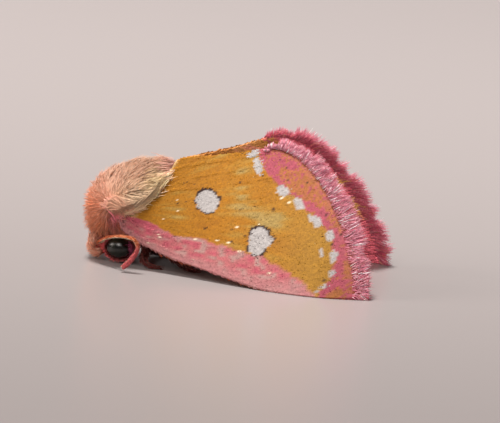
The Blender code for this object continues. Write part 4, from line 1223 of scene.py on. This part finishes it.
feeler = {
    "path": [(-6.35, 0.9, 1.0), (-6.6, 1.5, 0.98), (-6.2, 2.05, 1.3), (-5.68, 2.6, 1.52),
             (-5.18, 3.05, 1.62), (-4.74, 3.25, 1.57), (-4.52, 3.32, 1.3), (-4.55, 3.35, 1.02),
             (-4.7, 3.35, 0.74), (-4.9, 3.35, 0.46), (-5.1, 3.35, 0.26)],
    "radii": [0.055, 0.055, 0.06, 0.06, 0.065, 0.075, 0.09, 0.1, 0.11, 0.11, 0.09],
    "segments": 34, "waist": 0.72, "swell": 0.2, "tip": 0.35, "sideCount": 14,
    "archCentre": (-5.3, 3.0, 0.5), "skinHex": "#a4502c",
    "scales": {"count": 1900, "length": 0.12, "lift": 0.3, "span": (0.0, 1.0),
               "hexes": ["#c2653c", "#b4522e", "#d08a62"]},
    "halfWidth": 0.02, "halfHeight": 0.006, "rose": "#d0606c", "cream": "#f0dcc0",
}


def makeEyes():
    material = makeEyeMaterial()
    for sideName, side in sides.items():
        bm = bmesh.new()
        bmesh.ops.create_icosphere(bm, subdivisions=5, radius=1.0)
        centre = Vector(eyeForm["centre"]) * mm
        centre.y *= side
        bmesh.ops.scale(bm, vec=[radius * mm for radius in eyeForm["radii"]], verts=bm.verts)
        bmesh.ops.translate(bm, vec=centre, verts=bm.verts)
        thing = makeThing(f"compoundEye{sideName.capitalize()}", bm)
        finishPiece(thing, [f"eye_{sideName}"], material)


def makeFeelers():
    # Notched tubes under small scales, rosy on the outer half and cream inside the arch.
    for number, (sideName, side) in enumerate(sides.items()):
        bm = bmesh.new()
        shares = np.linspace(0, 1, feeler["segments"] * 4 + 1)
        notch = np.abs(np.sin(shares * np.pi * feeler["segments"])) ** 0.5
        radius = spreadRadii(feeler["radii"], shares) * (feeler["waist"] + feeler["swell"] * notch)
        radius[-1] *= feeler["tip"]
        tubeInto(bm, np.array(feeler["path"]) * (1, side, 1), radius, feeler["sideCount"], 0.01)
        thing = makeSolid(f"feeler{sideName.capitalize()}", bm)
        setTints(thing.data, np.tile(toLinear(feeler["skinHex"]), (len(thing.data.vertices), 1)))
        finishPiece(thing, [f"antenna_{sideName}"], materials["bodyCuticle"])
        at, way, out, length, bend, tints, patches = placeLimbFur(
            feeler["path"], feeler["radii"], feeler["scales"], 500 + number, side)
        inner = unit(np.array(feeler["archCentre"]) * (1, side, 1) - at)
        tints = mixColours(tints, toLinear(feeler["rose"]), 0.8 * smoothStep(patches[:, 0], 0.5, 0.62))
        facesIn = smoothStep(np.sum(inner * out, 1), 0.35, 0.75)
        tints = mixColours(tints, toLinear(feeler["cream"]), facesIn)
        growCoat(f"feeler{sideName.capitalize()}Scales", scaleTuft, feeler, at, way, out, length,
                 bend, (tints * 0.9, tints * 1.1), patches, "wingScaleChitin")


# Floor, light and camera

stage = {"stops": ((0.0, "#807a79"), (1.0, "#a69f9e")), "nearY": -0.06, "farY": 0.07,
         "roughness": 0.3, "specular": 0.35, "size": 1.6}


def makeStage():
    # A pale painted board with a soft, blurred sheen, a little darker on its -Y side: painted shade where
    # the overhead light falls off towards the viewer.
    bm = bmesh.new()
    bmesh.ops.create_grid(bm, x_segments=1, y_segments=1, size=stage["size"] / 2)
    thing = makeThing("floor", bm)
    material, tree, shader = startMaterial("satinPaintedBoard")
    place = addNode(tree, "ShaderNodeTexCoord")
    split = addNode(tree, "ShaderNodeSeparateXYZ", None, None, {"Vector": place.outputs["Object"]})
    share = addNode(tree, "ShaderNodeMapRange", {"interpolation_type": "SMOOTHSTEP"},
                    {"From Min": stage["nearY"], "From Max": stage["farY"]},
                    {"Value": split.outputs["Y"]})
    tree.links.new(addRamp(tree, share.outputs["Result"], stage["stops"]), shader.inputs["Base Color"])
    shader.inputs["Roughness"].default_value = stage["roughness"]
    shader.inputs["Specular IOR Level"].default_value = stage["specular"]
    thing.data.materials.append(material)


lights = [
    # Name, place and size in metres, power in watts, colour: one soft box overhead and two fills.
    ("overheadSoftBox", (-0.05, 0.0, 0.31), 0.07, 1.7, "#fffaf6"),
    ("frontSoftBox", (-0.04, -0.25, 0.25), 0.16, 0.45, "#fff6f0"),
    ("leftSoftBox", (-0.28, -0.12, 0.14), 0.2, 0.5, "#fff2ea"),
]
roomLight = {"stops": ((0.1, "#8a8280"), (0.6, "#f4f0f0")), "strength": 0.38}


def makeLights():
    for name, place, size, power, hexColour in lights:
        light = bpy.data.lights.new(name, "AREA")
        light.shape = "DISK"
        light.size = size
        light.energy = power
        light.color = toLinear(hexColour)
        thing = addObject(name, light)
        thing.location = place
        thing.rotation_euler = Vector(place).to_track_quat("Z", "Y").to_euler()
    world = bpy.data.worlds.new("roomLight")
    world.use_nodes = True
    tree = world.node_tree
    backdrop = tree.nodes["Background"]
    # The room is dim near the floor and light overhead.
    way = addNode(tree, "ShaderNodeTexCoord")
    split = addNode(tree, "ShaderNodeSeparateXYZ", None, None, {"Vector": way.outputs["Generated"]})
    tree.links.new(addRamp(tree, split.outputs["Z"], roomLight["stops"]), backdrop.inputs["Color"])
    backdrop.inputs["Strength"].default_value = roomLight["strength"]
    bpy.context.scene.world = world


camera = {
    "azimuth": 7, "elevation": 10, "roll": 4, "distance": 0.9, "sensor": 36.0,
    "pixelsPerMm": 21.5, "photoWidth": 500, "photoHeight": 423,
    "originAtPixel": (241.546, 270.433),
}


def makeCamera():
    a, e, roll = (math.radians(camera[key]) for key in ("azimuth", "elevation", "roll"))
    back = Vector((math.sin(a) * math.cos(e), -math.cos(a) * math.cos(e), math.sin(e)))
    level = Vector((math.cos(a), math.sin(a), 0))
    upright = back.cross(level)
    right = level * math.cos(roll) + upright * math.sin(roll)
    up = upright * math.cos(roll) - level * math.sin(roll)
    pixels = camera["pixelsPerMm"]
    aim = (right * (camera["photoWidth"] / 2 - camera["originAtPixel"][0]) / pixels
           + up * (camera["originAtPixel"][1] - camera["photoHeight"] / 2) / pixels) * mm
    data = bpy.data.cameras.new("photoCamera")
    data.sensor_fit = "HORIZONTAL"
    data.sensor_width = camera["sensor"]
    data.lens = camera["sensor"] * camera["distance"] / (camera["photoWidth"] / pixels * mm)
    data.clip_start, data.clip_end = 0.01, 10
    thing = addObject("photoCamera", data)
    turn = Matrix((right, up, back)).transposed().to_4x4()
    thing.matrix_world = Matrix.Translation(aim + back * camera["distance"]) @ turn
    bpy.context.scene.camera = thing


bpy.context.scene.view_settings.view_transform = "Standard"
makeCamera()
makeStage()
makeLights()
print("stage, lights and camera done")
makeWings()
makeSkin()
growThoraxFur()
growTegulae()
growLimbs()
growHeadFur()
growEyeRims()
growAbdomenFur()
makeEyes()
makeFeelers()
print("moth done, coat triangles:", sum(coatCount), "most in a piece:", max(coatCount))
